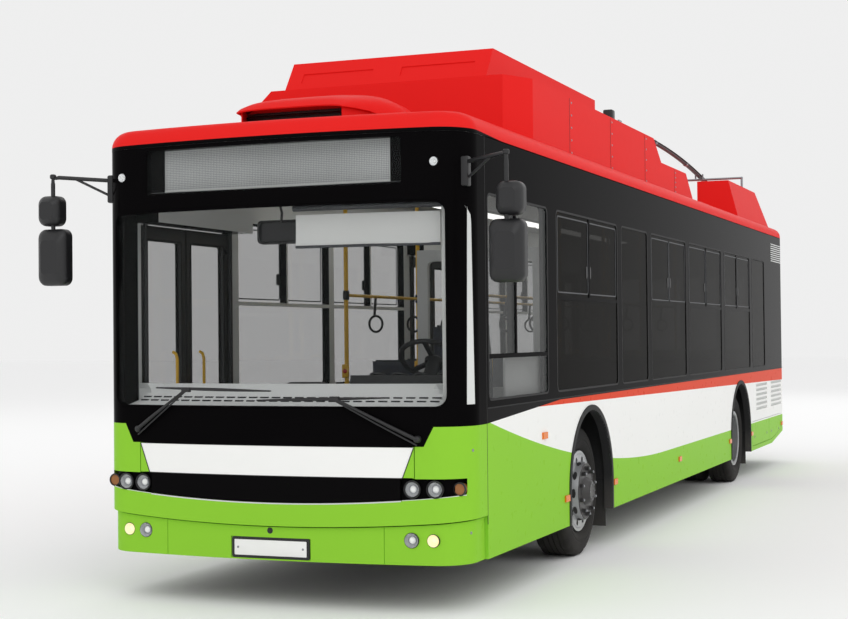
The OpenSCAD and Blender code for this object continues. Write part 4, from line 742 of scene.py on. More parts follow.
class BUS_OT_paint(bpy.types.Operator):
    """Finishes of the body's panels, glass and frames."""

    bl_idname = "bus.paint"
    bl_label = "Paint and glass"

    def execute(self, context):
        build_finishes()
        for finish_key, nodes in PLAIN_FINISHES:
            for node in nodes:
                paint(node, finish_key)
        for choose, finish_keys, nodes in CHOSEN_FINISHES:
            for node in nodes:
                paint(node, *finish_keys, choose=choose)
        return {"FINISHED"}


def tyre_section(groove):
    """A tyre's outline round its axle, and the numbers of the points that the shoulder blocks notch."""
    bead, half = 0.2858, 0.1375
    height = WHEEL_Z - bead
    side = [(0, 0.74), (0.05, 0.75), (0.1, 0.755), (0.13, 0.80), (0.16, 0.84), (0.3, 0.965), (0.42, 0.992)]
    side += [(0.44, 0.975), (0.5, 0.978), (0.52, 1.0), (0.62, 0.99), (0.72, 0.965)]
    side += [(0.82, 0.925), (0.9, 0.88), (0.97, 0.8)]
    deep = groove / height
    tread = []
    for a, b in ((0.70, 0.47), (0.42, 0.16), (0.11, -0.11), (-0.16, -0.42), (-0.47, -0.70)):
        tread += [(1 - deep, a + 0.012), (1, a), (1, b), (1 - deep, b - 0.012)]
    section = side + tread[1:-1] + [(up, -wide) for up, wide in reversed(side)]
    shoulder = {k for k, (up, wide) in enumerate(section) if 0.88 < up and abs(wide) >= 0.47 - 1e-6}
    return [(bead + up * height, wide * half) for up, wide in section], shoulder


def hand_holes(q, s, x, y):
    """Dark plates over the ten hand holes of a front rim, bent to its cone: painted shade in the holes."""
    for k in range(10):
        middle = math.radians(36 * k + 18)
        rows = []
        for j in range(9):
            v = -1 + j / 4
            half_a = 0.16 * math.sqrt(max(1 - v * v, 0.01))
            far, out = 0.2172 - 0.208 * 0.016 * v, s * (x + 0.139 + 0.015 * v)
            wide = [half_a * (i / 4 - 1) + middle for i in range(9)]
            rows.append([(out, y + far * math.sin(a), WHEEL_Z + far * math.cos(a)) for a in wide])
        q.sheet(rows, "rubber", 0.0008)


class BUS_OT_wheels(bpy.types.Operator):
    """Tyres with ribs, shoulder blocks and side bands, nut ends and hub covers."""

    bl_idname = "bus.wheels"
    bl_label = "Wheels"

    def execute(self, context):
        profile, shoulder = tyre_section(context.scene.bus_sizes.groove)
        nut = [(0.021, -0.030), (0.021, -0.024), (0.016, -0.022), (0.016, 0), (0, 0)]
        stud = [(0.010, -0.002), (0.010, 0.008), (0.007, 0.011), (0, 0.011)]
        cover = [(0.070, -0.002), (0.070, 0.003), (0.060, 0.004), (0.050, 0.0015), (0, 0.0015)]
        lip = [(0.206, 0.166), (0.206, 0.173), (0.200, 0.176), (0.192, 0.173), (0.192, 0.170)]

        def block(k, ring):
            return -0.010 if ring in shoulder and k % 4 == 0 else 0.0

        for end, y in zip(("front", "rear"), Y_AXLES):
            ahead = end == "front"
            # Middles of the tyres from the outside in, and the planes of the nuts and of the hub's cover
            tyres = (1.03,) if ahead else (1.05, 0.735)
            outer = tyres[0]
            face, cap = (outer + 0.197, 1.247) if ahead else (outer - 0.131, 1.083)
            for name, s in (("left", 1), ("right", -1)):
                body = f"{end}_{name}_wheel" + ("" if ahead else "s")
                p = Piece()
                for x in tyres:
                    p.lathe(profile, "tyre", move(s * x, y, WHEEL_Z) @ turn("Y", 90), 96, True, block)
                p.make(f"tread_{end}_{name}", body, "tyre", (f"tyre_{end}_{name}",))
                q = Piece()
                out = turn("Y", 90 * s)
                for k in range(10):
                    a = math.radians(36 * k + (18 if ahead and s < 0 else 0))
                    at = move(s * face, y + 0.1675 * math.sin(a), WHEEL_Z + 0.1675 * math.cos(a)) @ out
                    q.lathe(nut, "hub", at, 6)
                    q.lathe(stud, "steel", at, 10)
                at = move(s * cap, y, WHEEL_Z) @ out
                q.lathe(cover, "hub", at, 40)
                for k in range(8):
                    a = math.radians(45 * k)
                    bolt = at @ move(0.060 * math.cos(a), 0.060 * math.sin(a), 0.003)
                    q.lathe([(0.006, 0), (0.006, 0.004), (0, 0.004)], "steel", bolt, 6)
                if ahead:
                    q.lathe(lip, "hub", move(s * outer, y, WHEEL_Z) @ out, 48)
                    # The dark plates in the rim's hand holes are painted shade
                    hand_holes(q, s, outer, y)
                rim_x = outer + 0.1045
                for k, r in ((0, 0.270), (1, 0.262)):
                    edge = [(r - 0.004, 0.016), (r, 0.020), (r + 0.006, 0.018), (r + 0.010, 0.012)]
                    q.lathe(edge, "silver", move(s * (rim_x - 0.006 * k), y, WHEEL_Z) @ out, 64)
                valve = [(s * (rim_x - 0.02), y, WHEEL_Z + 0.238), (s * (rim_x + 0.012), y, WHEEL_Z + 0.232)]
                q.tube(valve, 0.005, "rubber", 8)
                q.make(f"hub_trim_{end}_{name}", body, "rim_silver")
        return {"FINISHED"}


# Sideways place, height, radius and setting back of the head lamps, fog lamps and upper markers
HEAD_LAMPS = ((0.916, 0.738, 0.046, 0.006), (1.052, 0.738, 0.046, 0.006))
FOG_LAMPS = ((0.904, 0.436, 0.046, 0.016), (1.035, 0.436, 0.0391, 0.016))
MARKERS = ((1.067, 2.67, 0.028, -0.006),)
INDICATORS = ((1.181, 0.738, 0.033, 0.006),)


def round_lamp(p, at, r, lit):
    """One lamp: housing, bowl, inner ring, bulb, middle lens and outer lens; a lit one glows warm."""
    large = r > 0.03
    deep = 0.062 if large else 0.03

    def form(*rows):
        return [(r * far, deep * up) for far, up in rows]

    p.lathe([(r, -0.069), (r, -0.002), (r * 0.93, 0)], "satin", at, 32)
    bowl = form((0.93, 0), (0.90, -0.12), (0.72, -0.5), (0.42, -0.85), (0.2, -1))
    p.lathe(bowl, "warm" if lit else "chrome", at, 32)
    if large:
        ring = form((0.60, -0.42), (0.60, -0.2), (0.50, -0.2), (0.48, -0.42))
        p.lathe(ring, "warm" if lit else "steel", at, 32, True)
    p.lathe(form((0.2, -1), (0.2, -0.6), (0.12, -0.4), (0, -0.36)), "milk", at, 16)
    if large:
        foot = -deep * 0.4
        ball = [(r * 0.49 * math.cos(a), foot + r * 0.4 * math.sin(a)) for a in (0, 0.4, 0.8, 1.2, 1.5)]
        p.lathe(ball + [(0, foot + r * 0.4)], "warm" if lit else "milk", at, 24)
    lens = [(r * 0.97, -0.006), (r * 0.97, -0.002), (r * 0.8, 0.003), (r * 0.4, 0.0055), (0, 0.006)]
    p.lathe(lens, "lens", at, 32)


class BUS_OT_lamps(bpy.types.Operator):
    """Round lamps with bowls, bulbs, lenses and rings; rings of the tail lamps."""

    bl_idname = "bus.lamps"
    bl_label = "Lamps"

    def execute(self, context):
        out, back = turn("X", 90), turn("X", -90)
        p = Piece()
        for x, z, r, inset in HEAD_LAMPS + FOG_LAMPS + MARKERS:
            for s in (1, -1):
                round_lamp(p, move(s * x, front_y(x) + inset, z) @ out, r, z < 0.5 and x > 1)
        p.make("lamp_units", COACH, "clear_glass", ("head_lamps",))

        def ring(r):
            return [(r, -0.004), (r + 0.009, -0.004), (r + 0.007, 0.004), (r, 0.006)]

        q = Piece()
        for s in (1, -1):
            for x, z, r, inset in HEAD_LAMPS + INDICATORS:
                q.lathe(ring(r), "satin", move(s * x, front_y(x) + inset - 0.002, z) @ out, 36, True)
            for z, glass in ((0.76, "ruby"), (0.92, "amber"), (1.08, "ruby")):
                at = move(s * 1.04, -Y_FRONT - 0.46, z) @ back
                q.lathe(ring(0.062), "satin", at, 36, True)
                q.lathe([(0.060, 0.004), (0.056, 0.012), (0.040, 0.016), (0, 0.018)], glass, at, 36)
                for r in (0.018, 0.034, 0.048):
                    q.lathe([(r, 0.012), (r + 0.002, 0.0185), (r + 0.004, 0.012)], glass, at, 36)
        q.make("lamp_rings", COACH, "frame_black")
        return {"FINISHED"}


class BUS_OT_mirrors(bpy.types.Operator):
    """Mirror heads with glass, arms and their feet."""

    bl_idname = "bus.mirrors"
    bl_label = "Mirrors"

    def execute(self, context):
        p = Piece()
        for s, drop in ((1, 0.045), (-1, 0.0)):
            foot = Vector((s * 1.215, yd(0.21), 2.615))
            high, low = Vector((s * 1.212, yd(0.215), 2.67)), Vector((s * 1.212, yd(0.215), 2.56))
            top = Vector((s * 1.54, yd(0.01), 2.69))
            arm = [high, high.lerp(top, 0.5), high.lerp(top, 0.9)]
            arm += [top - Vector((0, 0, 0.01)), top - Vector((0, 0, 0.05))]
            p.tube(arm, 0.013, "satin", 14)
            brace = high.lerp(top, 0.65)
            p.tube([low, low.lerp(brace, 0.5), brace], 0.0085, "satin", 12)
            stem = [top - Vector((0, 0, 0.04)), Vector((s * 1.54, yd(0.01), 2.17 - drop))]
            p.tube(stem, 0.014, "satin", 14)
            cap = [(0.016, -0.01), (0.02, -0.006), (0.02, 0.012), (0.014, 0.018), (0, 0.018)]
            p.lathe(cap, "satin", move(*top), 20)
            p.box(foot - Vector((0.03, 0.032, 0.09)), foot + Vector((0.03, 0.032, 0.09)), "satin", 0.012, 3)
            for x, z, w, h in ((1.54, 1.99 - drop, 0.215, 0.365), (1.56, 2.375 - drop, 0.165, 0.195)):
                y, mid = yd(0.01), z + h / 2
                rows = []
                for k in range(9):
                    t = k / 8
                    fade = 1 - 0.42 * max(0.0, (0.55 - t) / 0.55) ** 2.2
                    ring = round_outline(w * fade, h * fade, 0.05 * fade, 8)
                    rows.append([(s * x + a, y - 0.055 + 0.11 * t, mid + b) for a, b in ring])
                p.sheet(rows, "satin", 0.0, True)
                out = turn("X", 90)
                front = round_outline(w * 0.58, h * 0.58, 0.03, 8)
                p.slab(front, 0.002, "satin", move(s * x, y - 0.0525, mid) @ out)
                back = round_outline(w - 0.002, h - 0.002, 0.049, 8)
                p.slab(back, 0.03, "satin", move(s * x, y + 0.048, mid) @ out)
                glass = round_outline(w - 0.026, h - 0.026, 0.038, 8)
                p.slab(glass, 0.004, "mirror", move(s * x, y + 0.0545, mid) @ out, 0.0015)
                clamp = move(s * x, y, mid)
                p.box((-0.026, -0.012, -0.04), (0.026, 0.03, 0.04), "satin", 0.008, 2, clamp)
        p.make("mirror_heads", COACH, "frame_black", ("mirrors",))
        return {"FINISHED"}


def wiper_point(share_x, share_z, out):
    """A place in front of the windscreen by shares of its half width and height."""
    x = share_x * 1.13
    return Vector((x, front_y(x) - out, 1.22 + share_z * 1.22))


class BUS_OT_wipers(bpy.types.Operator):
    """Wiper arms in pairs, their blades and caps."""

    bl_idname = "bus.wipers"
    bl_label = "Wipers"

    def execute(self, context):
        tall = context.scene.bus_sizes.blade
        p = Piece()
        for pivot, elbow, a, b in (
            ((0.848, -0.1516), (0.4027, 0.0451), (0.6814, 0.0475), (-0.0531, 0.0344)),
            ((-0.8274, -0.1189), (-0.4956, 0.0861), (-0.6991, 0.0943), (0.0265, 0.0803)),
        ):
            root, joint = wiper_point(*pivot, 0.022), wiper_point(*elbow, 0.036)
            cap = [(0.022, -0.02), (0.022, 0.004), (0.016, 0.014), (0.008, 0.018), (0, 0.018)]
            p.lathe(cap, "satin", move(*root) @ turn("X", 90), 24)
            arm = [root + Vector((0, -0.008, 0)), root.lerp(joint, 0.3) + Vector((0, -0.012, 0)), joint]
            p.tube(arm, [0.012, 0.011, 0.007], "satin", 10)
            drop = Vector((0, 0, -0.035))
            middle = root.lerp(joint, 0.5) + drop * 0.7 + Vector((0, -0.006, 0))
            p.tube([root + drop, middle, joint + drop * 0.3], 0.0055, "satin", 8)
            p.box(joint - Vector((0.03, 0.004, 0.016)), joint + Vector((0.03, 0.02, 0.012)), "satin", 0.004)
            rows = [[], [], [], []]
            spine = []
            for k in range(25):
                t = k / 24
                sx, sz = a[0] + (b[0] - a[0]) * t, a[1] + (b[1] - a[1]) * t
                spine.append(wiper_point(sx, sz, 0.024))
                half = 0.0015 + 0.003 * math.sin(math.pi * t) + 0.003
                edges = ((0.022, half), (0.002, 0.001), (0.002, -0.001), (0.022, -half))
                for row, (out, up) in zip(rows, edges):
                    row.append(wiper_point(sx, sz, out) + Vector((0, 0, up)))
            p.sheet(rows + [rows[0]], "rubber")
            radii = [0.004 + 0.006 * math.sin(math.pi * k / 24) * tall / 0.026 for k in range(25)]
            p.tube(spine, radii, "satin", 10)
        p.make("wiper_sets", COACH, "frame_black", ("wipers",))
        return {"FINISHED"}


def ring_strip(p, w, h, r, width, thick, mat, at):
    """A flat frame of strip round a rectangle with round corners, in the local XY plane."""
    outer, inner = round_outline(w, h, r), round_outline(w - 2 * width, h - 2 * width, max(r - width, 0.002))
    rows = [[(x, y, 0) for x, y in outer], [(x, y, thick) for x, y in outer]]
    rows += [[(x, y, thick) for x, y in inner], [(x, y, 0) for x, y in inner]]
    bm = bmesh.new()
    grid = [[bm.verts.new(v) for v in row] for row in rows]
    for a, b in zip(grid, grid[1:] + grid[:1]):
        for k in range(len(a)):
            j = (k + 1) % len(a)
            bm.faces.new((a[k], a[j], b[j], b[k]))
    p.take(bm, mat, True, at)


# Local X along the bus and local Y up, with local Z outwards, on the left and right walls
ON_LEFT = Matrix(((0, 0, 1, 0), (1, 0, 0, 0), (0, 1, 0, 0), (0, 0, 0, 1)))
ON_RIGHT = Matrix(((0, 0, -1, 0), (-1, 0, 0, 0), (0, 1, 0, 0), (0, 0, 0, 1)))
# Front and rear edges of the panes, as distances behind the front
LEFT_WINDOWS = ((0.50, 1.74), (1.94, 3.62), (3.74, 4.64), (4.75, 6.18), (6.29, 7.92), (8.06, 9.61))
LEFT_WINDOWS += ((9.75, 10.62),)
RIGHT_WINDOWS = ((1.855, 3.445), (3.543, 5.10), (6.60, 8.07), (8.16, 9.60))


class BUS_OT_window_trim(bpy.types.Operator):
    """Seals round the panes, frames of the sliding panes, louvres and joint lines."""

    bl_idname = "bus.window_trim"
    bl_label = "Window trim"

    def execute(self, context):
        seal = context.scene.bus_sizes.seal
        p = Piece()
        for windows, s, wall in ((LEFT_WINDOWS, 1, ON_LEFT), (RIGHT_WINDOWS, -1, ON_RIGHT)):
            for k, (d0, d1) in enumerate(windows):
                at = move(s * (HALF_W - 0.0045), yd((d0 + d1) / 2), 1.8775) @ wall
                ring_strip(p, d1 - d0 + 0.006, 1.271, 0.05, seal, 0.0055, "rubber", at)
                if d1 - d0 < 1.0 or (s > 0 and k == 0):
                    continue
                half = (d1 - d0) / 2 - 0.03
                for j in (-1, 1):
                    pane = move(s * (HALF_W - 0.0065), yd((d0 + d1) / 2) + j * half / 2, 2.205) @ wall
                    ring_strip(p, half - 0.02, 0.54, 0.03, 0.009, 0.004, "shell", pane)
                    catch = move(s * (HALF_W - 0.012), yd((d0 + d1) / 2) + j * 0.05, 2.10) @ wall
                    p.slab(round_outline(0.03, 0.09, 0.012), 0.010, "satin", catch, 0.003)
        for k in range(9):
            z = 2.53 + 0.026 * k
            p.box((HALF_W - 0.004, yd(11.12), z), (HALF_W + 0.006, yd(11.86), z + 0.012), "trim", 0.003)
        p.make("window_seals", COACH, "rubber")

        q = Piece()
        for s in (1, -1):
            x, y = s * 1.2495, yd(0.46)
            q.box((x - 0.0015, y - 0.003, 0.50), (x + 0.0015, y + 0.003, ROOF_Z), "rubber", 0.001)
            x = s * HALF_W
            q.box((x - 0.002, yd(0.47), 1.196), (x + 0.002, yd(11.9), 1.204), "rubber", 0.0015)
        points = [(x, z + 1.83) for x, z in round_outline(2.26, 1.22, 0.07, 8)]
        seam = []
        for a, b in zip(points, points[1:] + points[:1]):
            steps = max(int(abs(a[0] - b[0]) / 0.06), 1)
            for k in range(steps):
                x = a[0] + (b[0] - a[0]) * k / steps
                seam.append((x, front_y(x) - 0.001, a[1] + (b[1] - a[1]) * k / steps))
        q.tube(seam + seam[:1], 0.007, "black", 8)
        q.make("joint_lines", COACH, "rubber")
        return {"FINISHED"}


def pad(p, w, l, t, at, seams=(), n=12):
    """A crowned cushion about its middle, drawn in between its corners, with sewn channels across."""
    bm = bmesh.new()
    places = [math.sin(math.pi / 2 * (2 * k / n - 1)) for k in range(n + 1)]

    def point(u, v, top):
        edge = max((1 - abs(u) ** 5) * (1 - abs(v) ** 5), 0.0) ** 0.4
        crown = 0.74 + 0.26 * (1 - u * u) * (1 - v * v)
        sewn = sum(0.16 * math.exp(-(((v - s) / 0.045) ** 2)) for s in seams) if top else 0.0
        x = u * w / 2 * (1 - 0.03 * (1 - v * v) * abs(u) ** 3)
        y = v * l / 2 * (1 - 0.03 * (1 - u * u) * abs(v) ** 3)
        return x, y, t / 2 * edge * (crown - sewn) * (1.0 if top else -0.85)

    def rim(i, j):
        return i in (0, n) or j in (0, n)

    spots = [(i, j) for i in range(n + 1) for j in range(n + 1)]
    high = {(i, j): bm.verts.new(point(places[i], places[j], True)) for i, j in spots}
    low = {}
    for i, j in spots:
        low[i, j] = high[i, j] if rim(i, j) else bm.verts.new(point(places[i], places[j], False))
    for i in range(n):
        for j in range(n):
            corners = ((i, j), (i + 1, j), (i + 1, j + 1), (i, j + 1))
            bm.faces.new([high[c] for c in corners])
            bm.faces.new([low[c] for c in reversed(corners)])
    p.take(bm, "cloth", True, at)


SEAT_W, SEAT_L, SEAT_PITCH, SEAT_TOP, BACK_H = 0.43, 0.42, 0.445, 0.46, 0.62
PAIR_ROWS = [(3.95 + 0.75 * k, 1) for k in range(6)] + [(d, -1) for d in (5.09, 4.34, 8.15, 7.40)]


# Sideways place and height of a seat handle's points; radius and height of the posts' points
SEAT_HANDLE = ((-0.10, 0), (-0.09, 0.06), (-0.05, 0.085), (0, 0.07), (0.012, 0.03), (0.012, -0.12))
PEDESTAL = ((0.085, 0.0005), (0.085, 0.008), (0.045, 0.018), (0.033, 0.03), (0.033, 0.36))
PEDESTAL += ((0.05, 0.385), (0.05, 0.392))
DRIVER_POST = ((0.12, 0.0005), (0.12, 0.05), (0.085, 0.08), (0.075, 0.12), (0.088, 0.15), (0.075, 0.18))
DRIVER_POST += ((0.088, 0.21), (0.075, 0.24), (0.09, 0.3), (0.16, 0.36), (0.16, 0.392))


def seat_places():
    """Each seat's middle at its back, the height it stands on, and the side of its handle."""
    places = []
    for d, s in PAIR_ROWS:
        places += [(s * 0.74 + j * SEAT_PITCH / 2, yd(d), FLOOR_Z, -s if j == -s else 0) for j in (-1, 1)]
    places.append((0.70, yd(1.56), 0.64, 0))
    places += [(-0.905 + SEAT_PITCH * k, yd(11.80), 0.2703, 0) for k in range(3)]
    return places


class BUS_OT_seats(bpy.types.Operator):
    """Padded seats on moulded shells, with pedestals and handles."""

    bl_idname = "bus.seats"
    bl_label = "Seats"

    def execute(self, context):
        soft, hard = Piece(), Piece()
        for x, y, z, grip in seat_places():
            base = move(x, y, z)
            flat = base @ move(0, -SEAT_L / 2 - 0.02, SEAT_TOP - 0.034)
            pad(soft, SEAT_W - 0.02, SEAT_L - 0.055, 0.075, flat, (-0.35, 0.3))
            lean = base @ move(0, -0.045, SEAT_TOP + BACK_H / 2) @ turn("X", 90)
            pad(soft, SEAT_W - 0.02, BACK_H - 0.03, 0.062, lean, (-0.45, 0.1, 0.6))
            rows = []
            for k in range(9):
                t = k / 8
                h = SEAT_TOP - 0.055 + (BACK_H + 0.05) * t
                half = SEAT_W / 2 * (1 - 0.16 * t**4)
                across = (-1, -0.9, -0.5, 0, 0.5, 0.9, 1)
                rows.append([base @ Vector((u * half, -0.008 - 0.024 * u**4, h)) for u in across])
            hard.sheet(rows, "shell", 0.008)
            pan = base @ move(0, -SEAT_L / 2 - 0.005, SEAT_TOP - 0.066)
            half_w, half_l = SEAT_W / 2 - 0.006, SEAT_L / 2
            hard.box((-half_w, -half_l + 0.01, -0.005), (half_w, half_l, 0.022), "shell", 0.010, 3, pan)
            if grip:
                hx = x + grip * (SEAT_W / 2 - 0.03)
                top = z + SEAT_TOP + BACK_H - 0.05
                path = [(hx + grip * side, y - 0.012, top + up) for side, up in SEAT_HANDLE]
                hard.tube(path, 0.012, "rail", 10)
        for d, s in PAIR_ROWS:
            foot = move(s * 0.74, yd(d) - SEAT_L / 2, FLOOR_Z)
            hard.lathe(PEDESTAL, "steel", foot, 24)
            half = SEAT_PITCH / 2 + 0.1
            hard.box((-half, -0.035, 0.352), (half, 0.035, 0.392), "steel", 0.006, 2, foot)
        hard.lathe(DRIVER_POST, "rubber", move(0.70, yd(1.56) - SEAT_L / 2, 0.64), 28)
        hard.box((0.55, yd(1.50), 1.66), (0.85, yd(1.555), 1.715), "shell", 0.012, 3)
        cushions = soft.make("seat_cushions", COACH, "seat_cloth", ("seats",))
        hard.make("seat_shells", COACH, "trim_grey")
        return {"FINISHED"}


def shelf_point(x, share):
    """A place on the pale shelf under the windscreen, by its share of the way back from the glass."""
    return Vector((x, front_y(x, 0.075 + 0.24 * share), 1.2165 + 0.135 * share**1.4))


class BUS_OT_cab(bpy.types.Operator):
    """Steering wheel, dials, switches, slotted shelf, pedals, cash desk, blind and inside mirror."""

    bl_idname = "bus.cab"
    bl_label = "Driver's place"

    def execute(self, context):
        p = Piece()
        lean = move(0.70, yd(1.01), 1.48) @ turn("X", -35)
        angles = [math.tau * k / 12 for k in range(12)]
        grip = [(0.225 + 0.0165 * math.cos(a), 0.0165 * math.sin(a)) for a in angles]
        p.lathe(grip, "rubber", lean, 48, True)
        p.lathe([(0.062, -0.03), (0.066, 0.0), (0.05, 0.014), (0.02, 0.018), (0, 0.018)], "satin", lean, 28)
        dial = [(0.060, -0.004), (0.060, 0.008), (0.053, 0.008), (0.051, 0.004), (0, 0.004)]
        for k in range(4):
            face = move(0.47 + 0.153 * k, yd(0.62), 1.387) @ turn("X", -22)
            p.lathe(dial, "satin", face, 28)
            p.lathe([(0.049, 0.0045), (0.047, 0.006), (0, 0.006)], "milk", face, 28)
            needle = face @ turn("Z", 40 - 30 * k)
            p.box((-0.0015, -0.006, 0.006), (0.0015, 0.038, 0.0085), "ruby", 0, 1, needle)
        for row in range(2):
            for k in range(9):
                at = move(0.40 + 0.074 * k, yd(0.772), 1.13 + 0.055 * row) @ turn("X", 12)
                p.box((-0.018, -0.014, -0.016), (0.018, 0.012, 0.016), ("dash", "shell")[k % 2], 0.004, 2, at)
        for k in range(26):
            x = -1.0 + 0.08 * k
            for t in (0.35, 0.5):
                _, y, z = shelf_point(x, t)
                p.box((x - 0.028, y - 0.007, z - 0.002), (x + 0.028, y + 0.007, z + 0.0065), "dash", 0.0012)
        # Fan box with its mesh, cash desk with its tray, and pedals
        p.box((-0.05, yd(0.36), 1.215), (0.20, yd(0.44), 1.36), "dash", 0.015, 3)
        p.box((-0.03, yd(0.439), 1.235), (0.18, yd(0.446), 1.345), "mesh", 0.004)
        p.box((0.27, yd(0.80), 0.64), (0.36, yd(1.75), 1.18), "trim", 0.02, 3)
        p.box((0.255, yd(0.95), 1.16), (0.42, yd(1.30), 1.21), "dash", 0.012, 3)
        for x, end in ((0.44, 1.04), (0.80, 1.06)):
            p.box((x, yd(0.90), 0.641), (x + 0.08, yd(end), 0.668), "steel", 0.006)
        p.make("cab_controls", COACH, "trim_grey")

        q = Piece()
        # Blind with its foot bar and roller
        x0, x1, z0 = 0.16, 1.07, 2.19
        middle = (x0 + x1) / 2
        across = [x0 + (x1 - x0) * k / 12 for k in range(13)]
        rows = []
        for j, z in enumerate((2.385, 2.32, z0 + 0.02, z0)):
            rows.append([(x, front_y(x, 0.085 + 0.004 * math.sin(9 * j)), z) for x in across])
        q.sheet(rows, "trim", 0.003)
        q.tube([(x, front_y(x, 0.085), z0) for x in (x0, middle, x1)], 0.009, "shell", 10)
        q.tube([(x, front_y(x, 0.095), 2.43) for x in (x0 - 0.02, middle, x1 + 0.02)], 0.022, "shell", 12)
        # Inside mirror on its stem
        stem = [(0.05, front_y(0.05, 0.09), 2.46), (0.03, yd(0.16), 2.41), (0.02, yd(0.17), 2.35)]
        q.tube(stem, 0.008, "satin", 10)
        mx, mz, out = 0.02, 2.295, turn("X", 90)
        rows = []
        for k in range(5):
            t = k / 4
            ring = round_outline(0.34 * (0.86 + 0.14 * t), 0.15 * (0.8 + 0.2 * t), 0.03, 6)
            rows.append([(mx + a, yd(0.155) + 0.045 * t, mz + b) for a, b in ring])
        q.sheet(rows, "satin", 0.0, True)
        q.slab(round_outline(0.335, 0.145, 0.028), 0.03, "satin", move(mx, yd(0.20), mz) @ out)
        q.slab(round_outline(0.315, 0.125, 0.022), 0.003, "mirror", move(mx, yd(0.2025), mz) @ out)
        # Lining below the side pane, pillar trim and shelf
        q.box((1.152, yd(1.05), 1.10), (1.174, yd(1.90), 1.50), "trim", 0.010, 3)
        q.box((1.07, front_y(1.10, 0.075), 1.23), (1.115, front_y(1.10, 0.11), 2.43), "trim", 0.008)
        line = [-1.10 + 2.20 * j / 44 for j in range(45)]
        q.sheet([[shelf_point(x, k / 6) for x in line] for k in range(7)], "shelf", 0.006)
        q.make("cab_trim", COACH, "trim_grey")
        return {"FINISHED"}


class BUS_OT_cabin(bpy.types.Operator):
    """Ceiling light strips, ducts, hand loops, rail clamps and stop buttons."""

    bl_idname = "bus.cabin"
    bl_label = "Cabin"

    def execute(self, context):
        p = Piece()
        for x in (0.72, -0.72):
            for k in range(8):
                y = yd(2.15 + 1.17 * k)
                p.box((x - 0.09, y, 2.822), (x + 0.09, y + 1.05, 2.8485), "glow", 0.012, 3)
                p.box((x - 0.11, y - 0.03, 2.836), (x + 0.11, y + 1.08, 2.8487), "trim", 0.005)
            if x > 0:
                duct = ((1.186, 2.53), (1.12, 2.54), (1.03, 2.62), (0.96, 2.74), (0.93, 2.848))
                rows = [[(far, yd(1.95) + 0.5 * j, z) for far, z in duct] for j in range(20)]
                p.sheet(rows, "ceiling", 0.006)
        p.make("cabin_ceiling", COACH, "trim_grey")
        q = Piece()
        button = [(0.016, 0), (0.016, 0.006), (0.012, 0.009), (0, 0.009)]
        rail_foot = [(0.045, 0.3605), (0.045, 0.368), (0.03, 0.378), (0.02, 0.40), (0.0165, 0.41)]
        ups = [(s * 0.40, d) for d in (2.05, 3.48, 9.52) for s in (-1, 1)]
        ups += [(0.40, 3.95 + 0.75 * k + 0.16) for k in (1, 3, 5)] + [(-0.40, d + 0.16) for d in (4.34, 7.40)]
        for x, d in ups:
            at = move(x, yd(d), 0)
            q.lathe(rail_foot, "rail", at, 20)
            q.lathe([(0.0165, 2.79), (0.022, 2.80), (0.04, 2.838), (0.04, 2.8495)], "rail", at, 20)
            q.lathe([(0.0165, 1.915), (0.024, 1.92), (0.024, 1.98), (0.0165, 1.985)], "satin", at, 16)
            q.box((x - 0.028, yd(d) - 0.03, 1.34), (x + 0.028, yd(d) - 0.012, 1.44), "rail", 0.008, 3)
            q.lathe(button, "ruby", move(x, yd(d) - 0.03, 1.39) @ turn("X", 90), 20)
        angles = [math.tau * j / 16 for j in range(17)]
        for x in (0.40, -0.40):
            for k in range(9):
                y = yd(2.6 + 0.78 * k)
                q.tube([(x, y, 1.94), (x - 0.012, y, 1.80)], 0.011, "satin", 8)
                loop = [(x + 0.055 * math.sin(a), y, 1.74 - 0.062 * math.cos(a)) for a in angles]
                q.tube(loop, 0.0095, "satin", 8)
        q.make("rail_fittings", COACH, "yellow_paint")
        return {"FINISHED"}


# Twice the radius of the curve along the lower edge of the lamp band
SMILE = 23.2


def bow_line(x0, x1, z_of, out, n=40):
    """Points along the bowed front between two sideways places at heights given by a function."""
    xs = [x0 + (x1 - x0) * k / n for k in range(n + 1)]
    return [(x, front_y(x) - out, z_of(x)) for x in xs]


